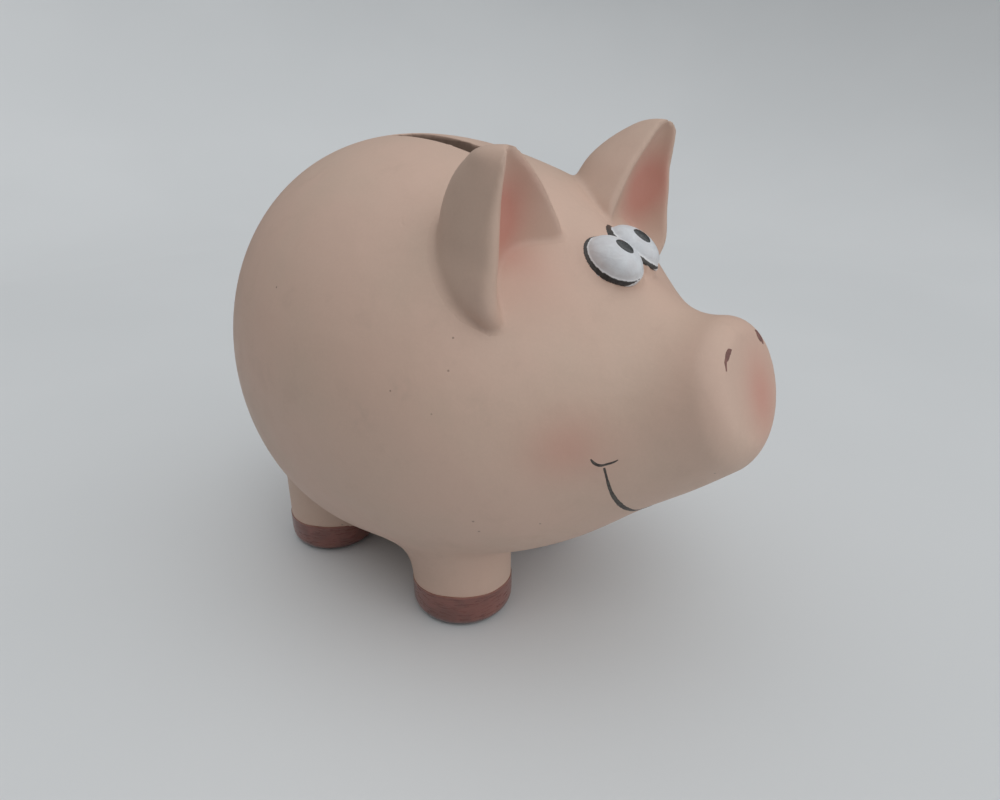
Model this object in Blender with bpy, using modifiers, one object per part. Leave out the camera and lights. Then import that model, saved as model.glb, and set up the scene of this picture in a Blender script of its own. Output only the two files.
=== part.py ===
"""Ceramic piggy bank: a hollow slip-cast body with a coin slot in its back and a
plugged cash-out hole in its belly, luted ears, raised cartoon eyes, glazed hooves,
a curled tail and a rubber stopper.

Frame: metres, +Z up, floor at z = 0, the pig faces -Y and its left side is +X.
The origin is on the floor under the middle of the bank. Sizes below are in mm.
"""

import math

import bmesh
import bpy
import numpy as np
from mathutils import Matrix, Vector

MM = 0.001
GAP = 0.3                 # joint line between neighbouring pieces

# ---------------------------------------------------------------- body
BODY_LEN = 170.0          # along the body axis, rump to snout face
BODY_TILT = 6.0           # nose-up tilt of the axis, degrees
REAR = Vector((0.0, 85.7, 71.8))   # rearmost point of the rump
# ring half-heights at fractions of the body length
RING_AT = (0.0, 0.07, 0.17, 0.30, 0.44, 0.58, 0.70, 0.80, 0.90, 1.0)
RING_HALF = (0.0, 42.7, 59.0, 65.9, 64.5, 59.0, 49.6, 35.6, 23.5, 17.9)
# rise of the ring centres above the axis
RISE_AT = (0.0, 0.30, 0.44, 0.58, 0.70, 0.80, 0.90, 1.0)
RISE = (0.0, -1.5, -1.4, -2.2, -1.2, -2.9, -5.0, 1.0)
# ring width over ring height
WIDE_AT = (0.0, 0.30, 0.55, 0.78, 1.0)
WIDE = (0.883, 0.946, 1.064, 1.10, 1.10)
SNOUT_LEAN = 14.0         # extra lean of the rings towards the snout, degrees
LEAN_FROM, LEAN_OVER = 0.45, 0.5   # where the lean starts and builds up, over the length
SNOUT_RIM = 5.6           # rounding of the snout's rim
BROW_RISE = 6.0           # low mound on the forehead that carries the eyes
BROW_AT, BROW_LONG, BROW_WIDE = 0.81, 14.0, 12.0
WALL = 4.5                # thickness of the cast wall

# mesh layout of the body, rump pole (0) to middle of the snout face (1)
SIDE_END, RIM_END = 0.84, 0.92     # shares taken by the flanks and the snout's rim
RING_SWEEP = 1.9                   # cosine spacing of the flank rings, radians
BODY_MESH = (48, 36)               # segments, rings
CHAMBER_MESH = (30, 22)

# ---------------------------------------------------------------- legs, hooves
LEG_X = 22.3
LEFT_FOOT_SHIFT = (3.0, 6.5)   # the front left foot stands a little wide and back
FRONT_LEG_Y, FRONT_LEG_R, FRONT_LEG_TOP = -5.9, 15.9, 40.0
REAR_LEG_Y, REAR_LEG_R, REAR_LEG_TOP = 57.1, 15.4, 52.0
# name, x, y, radius, top of the leg
LEGS = (
    ("front_left", LEG_X + LEFT_FOOT_SHIFT[0], FRONT_LEG_Y + LEFT_FOOT_SHIFT[1],
     FRONT_LEG_R, FRONT_LEG_TOP),
    ("front_right", -LEG_X, FRONT_LEG_Y, FRONT_LEG_R, FRONT_LEG_TOP),
    ("rear_left", LEG_X, REAR_LEG_Y, REAR_LEG_R, REAR_LEG_TOP),
    ("rear_right", -LEG_X, REAR_LEG_Y, REAR_LEG_R, REAR_LEG_TOP),
)
HOOF_TOP = 11.0
HOOF_ROUND, HOOF_ROUND_STEPS = 4.2, 4   # rounded lower edge of each hoof
HOOF_EDGE, HOOF_EDGE_MID = 0.8, 0.25    # softened upper edge and the inset of its middle
GLAZE_PROUD = 0.25        # the hoof glaze stands a little outside the leg

# ---------------------------------------------------------------- coin slot
SLOT_LEN, SLOT_WIDE, SLOT_Y = 38.0, 8.0, 16.7
SLOT_CORNER = SLOT_WIDE * 0.44
SLOT_CUT_Z, SLOT_CUT_DEEP = 140.0, 40.0   # middle and depth of the cutting block

# ---------------------------------------------------------------- cash-out hole, stopper
PLUG_Y = 25.9
HOLE_R = 9.5
SEAT_R, SEAT_Z = 13.6, 12.8     # flat spot face that the stopper's flange closes on
CUT_BOTTOM, BORE_TOP = 2.0, 30.0
FLANGE_R, FLANGE_T = SEAT_R - 0.6, 2.4
NECK_R, BEAD_R = 8.8, 9.2
BEAD_Z, PLUG_TOP = 17.8, 20.0
FLANGE_RIM = 4.0                # width of the flat rim under the flange
BUTTON_R = 2.8                  # flat button in the middle of the underside
RECESS_DEEP, RECESS_SLOPE = 0.8, 0.6   # ring recess between rim and button

# ---------------------------------------------------------------- ears
EAR_TIP = Vector((38.5, -35.5, 147.5))
EAR_MEDIAL = Vector((12.8, -30.3, 124.0))
EAR_LATERAL = Vector((41.0, -33.3, 107.5))
# half-widths, depth and the sideways lean of the back, at heights over the ear's height
EAR_H = (-0.45, -0.17, 0.06, 0.33, 0.50, 0.63, 0.77, 0.89, 0.96, 1.004)
EAR_CROWN = (13.0, 15.0, 17.6, 15.6, 13.5, 11.2, 8.4, 5.6, 3.5, 0.0)
EAR_CHEEK = (16.0, 17.1, 19.1, 15.2, 12.4, 10.1, 7.6, 5.2, 3.4, 0.0)
EAR_DEEP = (19.0, 18.9, 23.6, 22.1, 20.5, 18.4, 15.0, 11.0, 7.8, 0.0)
EAR_SKEW = (0.0, 0.0, 1.3, 2.2, 2.7, 2.6, 1.9, 1.0, 0.2, 0.0)
# how far the two rims curl forward of the front plane
EAR_RIM_H = (0.0, 0.40, 0.70, 0.95)
EAR_CHEEK_RIM = (3.6, 3.1, 3.1, 2.8)
EAR_CROWN_RIM = (4.0, 2.5, 2.0, 1.5)
EAR_CUP, EAR_CUP_POWER = 0.34, 1.6   # hollow's depth over the ear's, and its fall-off
EAR_MIN_HALF = 0.2                   # least half-width or depth of a section
# rounding of the rims: radius at mid-width, its fall towards the crown, cap over half-width
EDGE_R, EDGE_R_FALL, EDGE_R_CAP = 3.4, 1.3, 0.48
FRONT_STRETCH, FRONT_MIN_DEEP = 0.6, 6.0   # slower closing of the cone before the front plane
SLOPE_STEP = 0.05                    # step for the slopes of the ear's fields
BACK_MIN_SLOPE, FRONT_MIN_SLOPE = 0.3, 0.5
EAR_CORE = 0.56                      # depth of the point the surface is sought from
EAR_REACH, EAR_HALVINGS = 1.15, 22   # extent and steps of that search
EAR_ROOT_SHARE = 0.12                # share of the mesh rings that closes the root
EAR_TIP_ROUND = 0.95                 # height above which the tip is rounded off
EAR_MESH = (36, 22)

# ---------------------------------------------------------------- eyes
# name, side, centre, axis across, axis down the forehead,
# half-sizes (across, along, proud), seat of the pupil on the unit dome
EYES = (
    ("left", 1.0, (6.04, -44.29, 118.36), (0.939, 0.222, -0.261), (0.069, -0.869, -0.490),
     (5.78, 7.82, 4.65), (-0.42, 0.05)),
    ("right", -1.0, (-5.42, -45.25, 117.76), (0.950, -0.084, 0.301), (0.066, -0.888, -0.454),
     (5.78, 7.96, 4.65), (0.25, 0.07)),
)
EYE_MESH, PUPIL_MESH = (32, 18), (24, 12)
PUPIL_HALF = (1.65, 2.75, 0.9)       # half-sizes of the lens: width, length, thickness
PUPIL_BED_GROW = (GAP * 0.6, GAP * 0.7, GAP * 0.7)   # growth of the dome under the pupil

# ---------------------------------------------------------------- tail
TAIL_Z = 88.0             # centre of the curl on the rump
TAIL_ROOT_R, TAIL_TIP_R = 2.7, 1.7
TAIL_CURL = 8.0           # outer radius of the curl
TAIL_TURNS = 1.35
TAIL_TIGHTEN = 0.78       # share of the curl's radius lost by the tip
TAIL_WIDEN = 1.05         # curl's width over its height
TAIL_SINK = 1.8           # depth of the root inside the rump
TAIL_EMERGE, TAIL_EMERGE_OVER = 2.6, 0.2   # rise over the first share of the roll
TAIL_LIFT = 1.2           # further rise, root to tip
TAIL_STEPS = 33


# ================================================================ helpers
def clamp(value, low, high):
    return min(max(value, low), high)


def furthest_inside(inside, low, high, halvings):
    """Largest value between low and high for which inside() holds, by halving."""
    for _ in range(halvings):
        middle = (low + high) / 2
        if inside(middle):
            low = middle
        else:
            high = middle
    return low


class NaturalCubic:
    """Natural cubic through a few design stations, straight beyond the ends."""

    def __init__(self, stations, values):
        x, y = np.array(stations, float), np.array(values, float)
        count, gap = len(x), np.diff(x)
        matrix, right = np.zeros((count, count)), np.zeros(count)
        matrix[0, 0] = matrix[-1, -1] = 1.0
        for i in range(1, count - 1):
            matrix[i, i - 1:i + 2] = gap[i - 1], 2 * (gap[i - 1] + gap[i]), gap[i]
            right[i] = 6 * ((y[i + 1] - y[i]) / gap[i] - (y[i] - y[i - 1]) / gap[i - 1])
        self.x, self.y, self.bend = x, y, np.linalg.solve(matrix, right)

    def __call__(self, at):
        x, y, bend = self.x, self.y, self.bend
        i = int(np.clip(np.searchsorted(x, at) - 1, 0, len(x) - 2))
        gap = x[i + 1] - x[i]
        held = clamp(at, x[0], x[-1])
        a, b = (x[i + 1] - held) / gap, (held - x[i]) / gap
        value = a * y[i] + b * y[i + 1]
        value += ((a**3 - a) * bend[i] + (b**3 - b) * bend[i + 1]) * gap * gap / 6
        slope = (y[i + 1] - y[i]) / gap
        slope += (-(3 * a * a - 1) * bend[i] + (3 * b * b - 1) * bend[i + 1]) * gap / 6
        return float(value + slope * (at - held))


def squares(values):
    """Half-sizes are splined as squares, so that a form closes roundly at zero."""
    return [v * v for v in values]


def collection(name):
    col = bpy.data.collections.new(name)
    bpy.context.scene.collection.children.link(col)
    return col


def material(name, colour, roughness, coat=0.0):
    mat = bpy.data.materials.new(name)
    mat.use_nodes = True
    inputs = mat.node_tree.nodes["Principled BSDF"].inputs
    inputs["Base Color"].default_value = (*colour, 1.0)
    inputs["Roughness"].default_value = roughness
    inputs["Coat Weight"].default_value = coat
    mat.diffuse_color = (*colour, 1.0)
    return mat


def outward(bm):
    """Turn all face normals out of the solid."""
    bm.normal_update()
    bmesh.ops.recalc_face_normals(bm, faces=bm.faces)
    if bm.calc_volume(signed=True) < 0:
        bmesh.ops.reverse_faces(bm, faces=bm.faces)
    bm.normal_update()


def add_object(name, bm, col, mat=None, sharp_angle=40):
    mesh = bpy.data.meshes.new(name)
    outward(bm)
    bm.to_mesh(mesh)
    bm.free()
    ob = bpy.data.objects.new(name, mesh)
    col.objects.link(ob)
    if mat:
        mesh.materials.append(mat)
    mesh.shade_smooth()
    mesh.set_sharp_from_angle(angle=math.radians(sharp_angle))
    return ob


def add_cutter(name, bm):
    """A hidden helper that only shapes other pieces."""
    ob = add_object(name, bm, CUTTERS)
    ob.hide_render = True
    ob.display_type = "WIRE"
    return ob


def boolean(ob, cutter, operation="DIFFERENCE"):
    mod = ob.modifiers.new(operation.lower() + "_" + cutter.name, "BOOLEAN")
    mod.operation = operation
    mod.object = cutter
    mod.solver = "EXACT"


def unit_sphere(mesh_size):
    bm = bmesh.new()
    segments, rings = mesh_size
    bmesh.ops.create_uvsphere(bm, u_segments=segments, v_segments=rings, radius=1.0)
    return bm


def shaped_sphere(place, mesh_size):
    """A UV sphere laid out in mm by place(t, phi), t running 0 to 1 from pole to pole."""
    bm = unit_sphere(mesh_size)
    for v in bm.verts:
        t = math.acos(clamp(-v.co.z, -1.0, 1.0)) / math.pi
        phi = math.atan2(v.co.y, v.co.x)
        v.co = place(t, phi) * MM
    return bm


def to_metres(bm):
    bmesh.ops.scale(bm, vec=Vector((MM, MM, MM)), verts=bm.verts)


def cylinder_cutter(name, x, y, radius, bottom, top):
    bm = bmesh.new()
    bmesh.ops.create_cone(
        bm, cap_ends=True, cap_tris=False, segments=40,
        radius1=radius * MM, radius2=radius * MM, depth=(top - bottom) * MM,
    )
    bmesh.ops.translate(bm, vec=Vector((x, y, (bottom + top) / 2)) * MM, verts=bm.verts)
    return add_cutter(name, bm)


def turned(name, profile, x, y, mat):
    """A turned piece: (radius, z) pairs from the top of the axis down its outer side."""
    mesh = bpy.data.meshes.new(name)
    points = [(radius * MM, 0.0, z * MM) for radius, z in profile]
    mesh.from_pydata(points, [(i, i + 1) for i in range(len(points) - 1)], [])
    mesh.materials.append(mat)
    ob = bpy.data.objects.new(name, mesh)
    PARTS.objects.link(ob)
    ob.location = (x * MM, y * MM, 0.0)
    mod = ob.modifiers.new("turn", "SCREW")
    mod.axis = "Z"
    mod.angle = 2 * math.pi
    mod.steps = mod.render_steps = 32
    mod.use_merge_vertices = True
    mod.merge_threshold = 0.00002
    mod.use_smooth_shade = True
    return ob


# ================================================================ body
def along_body(fractions, values):
    return NaturalCubic([f * BODY_LEN for f in fractions], values)


HALF_SQUARED = along_body(RING_AT, squares(RING_HALF))
CENTRE_RISE = along_body(RISE_AT, RISE)
WIDTH_RATIO = along_body(WIDE_AT, WIDE)
TILT = math.radians(BODY_TILT)
ALONG = Vector((0.0, -math.cos(TILT), math.sin(TILT)))
UPRIGHT = Vector((0.0, math.sin(TILT), math.cos(TILT)))


def ring_half(s):
    return math.sqrt(max(HALF_SQUARED(s), 0.0))


def lean(s):
    """Shift along the axis per mm of height in the ring."""
    w = clamp((s - LEAN_FROM * BODY_LEN) / (LEAN_OVER * BODY_LEN), 0.0, 1.0)
    return -math.tan(math.radians(SNOUT_LEAN)) * w * w * (3 - 2 * w)


def brow(s, x):
    along = (s - BROW_AT * BODY_LEN) / BROW_LONG
    return BROW_RISE * math.exp(-along**2 - (x / BROW_WIDE) ** 2)


def ring_point(s, phi, shrink=1.0, inset=0.0):
    """A point of the body's skin: s along the axis, phi round the ring."""
    half = max(ring_half(s) - inset, 0.0) * shrink
    wide = max(ring_half(s) * WIDTH_RATIO(s) - inset, 0.0) * shrink
    x, height = wide * math.cos(phi), half * math.sin(phi)
    if height > 0 and shrink == 1.0 and inset == 0.0:
        height += brow(s, x)
    p = REAR + ALONG * (s + lean(s) * height) + UPRIGHT * (CENTRE_RISE(s) + height)
    return Vector((x, p.y, p.z))


def body_vertex(t, phi):
    """t runs 0 at the rump's pole to 1 at the middle of the snout's face."""
    rim_start = BODY_LEN - SNOUT_RIM
    if t <= SIDE_END:
        swept = 1 - math.cos(RING_SWEEP * t / SIDE_END)
        return ring_point(rim_start * swept / (1 - math.cos(RING_SWEEP)), phi)
    if t <= RIM_END:
        angle = (t - SIDE_END) / (RIM_END - SIDE_END) * math.pi / 2
        s = rim_start + SNOUT_RIM * math.sin(angle)
        inset = ring_half(s) - ring_half(rim_start) + SNOUT_RIM * (1 - math.cos(angle))
        return ring_point(s, phi, inset=inset)
    inset = ring_half(BODY_LEN) - ring_half(rim_start) + SNOUT_RIM
    return ring_point(BODY_LEN, phi, shrink=(1.0 - t) / (1.0 - RIM_END), inset=inset)


def body_form(mesh_size, grow=0.0):
    """The body's closed form, grown (+) or shrunk (-) along its normals by grow mm."""
    bm = shaped_sphere(body_vertex, mesh_size)
    outward(bm)
    for v in bm.verts:
        v.co += v.normal * grow * MM
    return bm


def slot_cutter():
    bm = bmesh.new()
    bmesh.ops.create_cube(bm, size=1.0)
    size = Vector((SLOT_WIDE, SLOT_LEN, SLOT_CUT_DEEP)) * MM
    bmesh.ops.scale(bm, vec=size, verts=bm.verts)
    upright = [e for e in bm.edges if abs(e.verts[0].co.z - e.verts[1].co.z) > 1e-6]
    bmesh.ops.bevel(
        bm, geom=upright, offset=SLOT_CORNER * MM, segments=4, profile=0.5, affect="EDGES",
    )
    bmesh.ops.translate(bm, vec=Vector((0.0, SLOT_Y, SLOT_CUT_Z)) * MM, verts=bm.verts)
    return add_cutter("slot_form", bm)


def build_body():
    """Skin and legs joined, then hollowed, slotted and bored."""
    body = add_object("body_shell", body_form(BODY_MESH), PARTS, SKIN)
    for name, x, y, radius, top in LEGS:
        leg = cylinder_cutter("leg_form_" + name, x, y, radius, HOOF_TOP + GAP, top)
        boolean(body, leg, "UNION")
    boolean(body, add_cutter("chamber_form", body_form(CHAMBER_MESH, -WALL)))
    boolean(body, slot_cutter())
    boolean(body, cylinder_cutter("seat_form", 0.0, PLUG_Y, SEAT_R, CUT_BOTTOM, SEAT_Z))
    boolean(body, cylinder_cutter("bore_form", 0.0, PLUG_Y, HOLE_R, CUT_BOTTOM, BORE_TOP))


# ================================================================ hooves
def build_hoof(name, x, y, leg_radius):
    """Flat-footed glazed end of a leg."""
    radius = leg_radius + GLAZE_PROUD
    profile = [
        (0.0, HOOF_TOP),
        (radius - HOOF_EDGE, HOOF_TOP),
        (radius - HOOF_EDGE_MID, HOOF_TOP - HOOF_EDGE_MID),
        (radius, HOOF_TOP - HOOF_EDGE),
    ]
    for k in range(HOOF_ROUND_STEPS + 1):
        a = k / HOOF_ROUND_STEPS * math.pi / 2
        profile.append((radius - HOOF_ROUND + HOOF_ROUND * math.cos(a),
                        HOOF_ROUND - HOOF_ROUND * math.sin(a)))
    profile.append((0.0, 0.0))
    boolean(turned("hoof_" + name, profile, x, y, HOOF_GLAZE), clearance)


# ================================================================ ears
CROWN_SQUARED = NaturalCubic(EAR_H, squares(EAR_CROWN))
CHEEK_SQUARED = NaturalCubic(EAR_H, squares(EAR_CHEEK))
DEEP_SQUARED = NaturalCubic(EAR_H, squares(EAR_DEEP))
SKEW = NaturalCubic(EAR_H, EAR_SKEW)
CHEEK_RIM = NaturalCubic(EAR_RIM_H, EAR_CHEEK_RIM)
CROWN_RIM = NaturalCubic(EAR_RIM_H, EAR_CROWN_RIM)


class EarSection:
    """Section of the ear at one height: cone behind, cup in front, round rims.

    x runs from the cheek side (-) to the crown side (+), y backwards from the front plane.
    """

    def __init__(self, height):
        crown, cheek, self.deep = (
            math.sqrt(max(squared(height), EAR_MIN_HALF**2))
            for squared in (CROWN_SQUARED, CHEEK_SQUARED, DEEP_SQUARED)
        )
        self.mid, self.half = (crown - cheek) / 2, (crown + cheek) / 2
        self.back_shift = SKEW(height) - self.mid
        rim_height = clamp(height, -0.1, 1.0)
        self.cheek_rim, self.crown_rim = CHEEK_RIM(rim_height), CROWN_RIM(rim_height)

    def cup(self, across):
        """Depth of the hollow; across runs -1 at the cheek rim to 1 at the crown rim."""
        return EAR_CUP * self.deep * (1 - across * across) ** EAR_CUP_POWER

    def curl(self, across):
        """How far the front stands forward of the front plane."""
        return 0.5 * (self.cheek_rim * (1 - across) + self.crown_rim * (1 + across))

    def fields(self, x, y):
        """Signed fields of the cone and of the cupped front, negative inside."""
        across = clamp((x - self.mid) / self.half, -1.0, 1.0)
        if y < 0:
            back = y / max(self.deep, FRONT_MIN_DEEP) * FRONT_STRETCH
        else:
            back = y / self.deep
        side = (x - self.mid - self.back_shift * clamp(back, 0.0, 1.0)) / self.half
        cone = (side * side + back * back - 1.0) * self.half * self.deep
        return cone, self.cup(across) - y - self.curl(across), across

    def signed(self, x, y):
        """Both fields scaled to distances and joined with a rounded edge."""
        step = SLOPE_STEP
        cone, front, across = self.fields(x, y)
        cone_x, front_x, _ = self.fields(x + step, y)
        cone_y, front_y, _ = self.fields(x, y + step)
        cone /= max(math.hypot(cone_x - cone, cone_y - cone) / step, BACK_MIN_SLOPE)
        front /= max(math.hypot(front_x - front, front_y - front) / step, FRONT_MIN_SLOPE)
        r = min(EDGE_R - EDGE_R_FALL * across, EDGE_R_CAP * self.half)
        if cone > -r and front > -r:
            return math.hypot(cone + r, front + r) - r
        return max(cone, front)

    def point(self, phi, fill):
        """Surface point in direction phi, drawn in towards the core by fill."""
        c, s = math.cos(phi), math.sin(phi)
        back = max(s, 0.0)
        x = self.mid + self.half * c + self.back_shift * back
        y = self.deep * s if s >= 0 else self.cup(c)
        y -= self.curl(c) * (1 - back)
        core_x, core_y = self.mid, EAR_CORE * self.deep
        dx, dy = x - core_x, y - core_y
        reach = furthest_inside(
            lambda f: self.signed(core_x + dx * f, core_y + dy * f) < 0,
            0.0, EAR_REACH, EAR_HALVINGS,
        )
        return core_x + dx * reach * fill, core_y + dy * reach * fill


def build_ear(name, side):
    """Deep cupped cone luted on the head."""
    base = (EAR_MEDIAL + EAR_LATERAL) / 2
    axis = EAR_TIP - base
    length = axis.length
    axis.normalize()
    back = (EAR_MEDIAL - EAR_TIP).cross(EAR_LATERAL - EAR_TIP).normalized()
    if back.y < 0:
        back = -back
    across = back.cross(axis).normalized()
    if across.dot(EAR_MEDIAL - EAR_LATERAL) < 0:
        across = -across
    root, top = EAR_H[0], EAR_H[-1]

    def place(t, phi):
        # t = 0 is the root inside the head, t = 1 the tip
        if t < EAR_ROOT_SHARE:
            height, fill = root, t / EAR_ROOT_SHARE
        else:
            u = (t - EAR_ROOT_SHARE) / (1 - EAR_ROOT_SHARE)
            height, fill = root + (top - root) * math.sin(u * math.pi / 2), 1.0
        if height > EAR_TIP_ROUND:
            fill *= math.sqrt(max(0.0, (top - height) / (top - EAR_TIP_ROUND)))
        x, y = EarSection(min(height, EAR_TIP_ROUND)).point(phi, fill)
        p = base + axis * (length * height) + across * x + back * y
        return Vector((p.x * side, p.y, p.z))

    ear = add_object(name, shaped_sphere(place, EAR_MESH), PARTS, EAR_SKIN, sharp_angle=60)
    boolean(ear, clearance)


# ================================================================ eyes
def axes_matrix(*axes):
    return Matrix(axes).transposed().to_4x4()


def dome_form(turn, centre, size):
    """Half of an ellipsoid on a straight wall that runs down into the head, in mm."""
    bm = unit_sphere(EYE_MESH)
    for v in bm.verts:
        r = math.hypot(v.co.x, v.co.y)
        if v.co.z < 0 and r > 0.01:
            v.co.x, v.co.y = v.co.x / r, v.co.y / r
    bmesh.ops.transform(bm, matrix=turn @ Matrix.Diagonal((*size, 1.0)), verts=bm.verts)
    bmesh.ops.translate(bm, vec=centre, verts=bm.verts)
    return bm


def build_eye(name, side, centre, across, down, size, pupil_seat):
    """Raised enamel dome on the brow, with a lens of black enamel on it."""
    centre, across, down = Vector(centre), Vector(across).normalized(), Vector(down)
    down = (down - across * down.dot(across)).normalized()
    out = down.cross(across).normalized()
    turn = axes_matrix(across, down, out)

    bm = dome_form(turn, centre, size)
    for v in bm.verts:
        if v.co.x * side < GAP / 2:          # the two domes meet on the middle plane
            v.co.x = side * GAP / 2
    to_metres(bm)
    boolean(add_object("eye_" + name, bm, PARTS, EYE_WHITE), clearance)

    wide, long, proud = size
    a, b = pupil_seat
    c = math.sqrt(1.0 - a * a - b * b)
    seat = centre + across * (wide * a) + down * (long * b) + out * (proud * c)
    lift = (across * (a / wide) + down * (b / long) + out * (c / proud)).normalized()
    lower = (down - lift * down.dot(lift)).normalized()
    stand = axes_matrix(lower.cross(lift), lower, lift)
    bm = unit_sphere(PUPIL_MESH)
    lens = Matrix.Diagonal((*PUPIL_HALF, 1.0))
    bmesh.ops.transform(bm, matrix=stand @ lens, verts=bm.verts)
    bmesh.ops.translate(bm, vec=seat, verts=bm.verts)
    to_metres(bm)
    pupil = add_object("pupil_" + name, bm, PARTS, PUPIL_BLACK)

    # the bed, a slightly larger dome, leaves the joint line under the pupil
    bed = dome_form(turn, centre, [s + grow for s, grow in zip(size, PUPIL_BED_GROW)])
    to_metres(bed)
    boolean(pupil, add_cutter("pupil_bed_" + name, bed))


# ================================================================ tail
def rump_point(x, z, lift):
    """Point on the rump at (x, z), moved out of it by lift."""
    s = 0.0
    for _ in range(8):
        height = (z - REAR.z - ALONG.z * s) / UPRIGHT.z - CENTRE_RISE(s)
        wanted = height * height + (x / WIDTH_RATIO(s)) ** 2
        s = furthest_inside(lambda at: HALF_SQUARED(at) < wanted, 0.0, 0.3 * BODY_LEN, 40)
    p = REAR + ALONG * s + UPRIGHT * (CENTRE_RISE(s) + height)
    p.x = x
    slope = HALF_SQUARED(s + 0.5) - HALF_SQUARED(max(s - 0.5, 0.0))
    sideways = Vector((2 * x / WIDTH_RATIO(s) ** 2, 0, 0))
    out = (sideways + UPRIGHT * (2 * height) - ALONG * slope).normalized()
    return p + out * lift


def build_tail():
    """One tapered roll curled flat against the rump."""
    curve = bpy.data.curves.new("tail_roll", "CURVE")
    curve.dimensions = "3D"
    curve.bevel_depth = MM
    curve.bevel_resolution = 2
    curve.use_fill_caps = True
    spline = curve.splines.new("POLY")
    spline.points.add(TAIL_STEPS)
    for k, point in enumerate(spline.points):
        q = k / TAIL_STEPS
        a = math.pi * 0.5 + 2 * math.pi * TAIL_TURNS * q
        r = TAIL_CURL * (1.0 - TAIL_TIGHTEN * q)
        lift = -TAIL_SINK + TAIL_EMERGE * min(1.0, q / TAIL_EMERGE_OVER) + TAIL_LIFT * q
        co = rump_point(-r * math.cos(a) * TAIL_WIDEN, TAIL_Z + r * math.sin(a), lift)
        point.co = (*(co * MM), 1.0)
        point.radius = TAIL_ROOT_R + (TAIL_TIP_R - TAIL_ROOT_R) * q
    roll = bpy.data.objects.new("tail_roll", curve)
    PARTS.objects.link(roll)
    bpy.context.view_layer.update()
    evaluated = roll.evaluated_get(bpy.context.evaluated_depsgraph_get())
    bm = bmesh.new()
    bm.from_mesh(bpy.data.meshes.new_from_object(evaluated))
    bmesh.ops.remove_doubles(bm, verts=bm.verts, dist=0.00001)
    bpy.data.objects.remove(roll, do_unlink=True)
    boolean(add_object("tail", bm, PARTS, SKIN), clearance)


# ================================================================ stopper
def build_stopper():
    """Flange in the spot face, neck through the bore, bead behind the wall."""
    flange_top = SEAT_Z - GAP
    flange_bottom = flange_top - FLANGE_T
    recess_z = flange_bottom + RECESS_DEEP
    rim_inner = FLANGE_R - FLANGE_RIM
    profile = [
        (0.0, PLUG_TOP), (BEAD_R - 2.2, PLUG_TOP), (BEAD_R - 0.7, PLUG_TOP - 0.7),
        (BEAD_R, BEAD_Z), (NECK_R, BEAD_Z - 1.6), (NECK_R, flange_top),
        (FLANGE_R - 0.4, flange_top), (FLANGE_R, flange_top - 0.5),
        (FLANGE_R, flange_bottom + 0.9), (FLANGE_R - 0.9, flange_bottom),
        (rim_inner, flange_bottom), (rim_inner - RECESS_SLOPE, recess_z),
        (BUTTON_R + RECESS_SLOPE, recess_z), (BUTTON_R, flange_bottom), (0.0, flange_bottom),
    ]
    turned("stopper", profile, 0.0, PLUG_Y, RUBBER)


# ================================================================ build
for old in list(bpy.data.objects):
    bpy.data.objects.remove(old, do_unlink=True)
PARTS = collection("piggy_bank")
CUTTERS = collection("cutters")

SKIN = material("painted_skin", (0.52, 0.36, 0.28), roughness=0.62)
EAR_SKIN = material("painted_ear", (0.50, 0.33, 0.26), roughness=0.62)
EYE_WHITE = material("eye_enamel", (0.72, 0.74, 0.78), roughness=0.42)
PUPIL_BLACK = material("pupil_enamel", (0.02, 0.024, 0.026), roughness=0.18, coat=0.5)
HOOF_GLAZE = material("hoof_glaze", (0.12, 0.035, 0.024), roughness=0.2, coat=0.6)
RUBBER = material("stopper_rubber", (0.045, 0.043, 0.042), roughness=0.6)

build_body()
# the grown body keeps the joint line between the skin and what is luted to it
clearance = add_cutter("clearance_form", body_form(BODY_MESH, GAP))
for leg_name, leg_x, leg_y, leg_r, _ in LEGS:
    build_hoof(leg_name, leg_x, leg_y, leg_r)
build_ear("ear_left", 1.0)
build_ear("ear_right", -1.0)
for eye in EYES:
    build_eye(*eye)
build_tail()
build_stopper()
bpy.context.view_layer.update()
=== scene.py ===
"""Looks of a ceramic piggy bank with a rubber stopper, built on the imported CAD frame.

The pig stands on z = 0 with its snout towards -Y and its left side at +X. Its soft forms are
distance functions in millimetres, negative inside and named d_..., meshed on a grid so that
body, legs, ears and tail run into each other like one slip-cast piece.
"""

import math

import bpy
import numpy as np
from mathutils import Matrix, Vector


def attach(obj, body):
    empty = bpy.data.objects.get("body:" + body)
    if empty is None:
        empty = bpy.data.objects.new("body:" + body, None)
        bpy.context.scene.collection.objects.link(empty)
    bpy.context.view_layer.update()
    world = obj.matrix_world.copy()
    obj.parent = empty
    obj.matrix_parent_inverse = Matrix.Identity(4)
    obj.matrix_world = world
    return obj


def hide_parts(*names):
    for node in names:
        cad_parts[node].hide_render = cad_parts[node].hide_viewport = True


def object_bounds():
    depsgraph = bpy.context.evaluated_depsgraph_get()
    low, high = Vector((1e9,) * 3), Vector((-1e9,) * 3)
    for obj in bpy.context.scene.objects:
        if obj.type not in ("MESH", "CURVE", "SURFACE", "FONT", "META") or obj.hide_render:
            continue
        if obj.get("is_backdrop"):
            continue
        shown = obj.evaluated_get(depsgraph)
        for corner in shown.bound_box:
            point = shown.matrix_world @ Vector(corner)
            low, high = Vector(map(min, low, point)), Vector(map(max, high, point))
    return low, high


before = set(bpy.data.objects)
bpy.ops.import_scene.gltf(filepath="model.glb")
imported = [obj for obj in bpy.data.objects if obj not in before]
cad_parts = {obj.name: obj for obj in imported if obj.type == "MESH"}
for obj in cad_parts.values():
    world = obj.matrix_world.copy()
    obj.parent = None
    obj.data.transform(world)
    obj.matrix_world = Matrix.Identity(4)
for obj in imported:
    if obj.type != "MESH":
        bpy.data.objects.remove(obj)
CAD_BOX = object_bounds()
MM = 0.001

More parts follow.
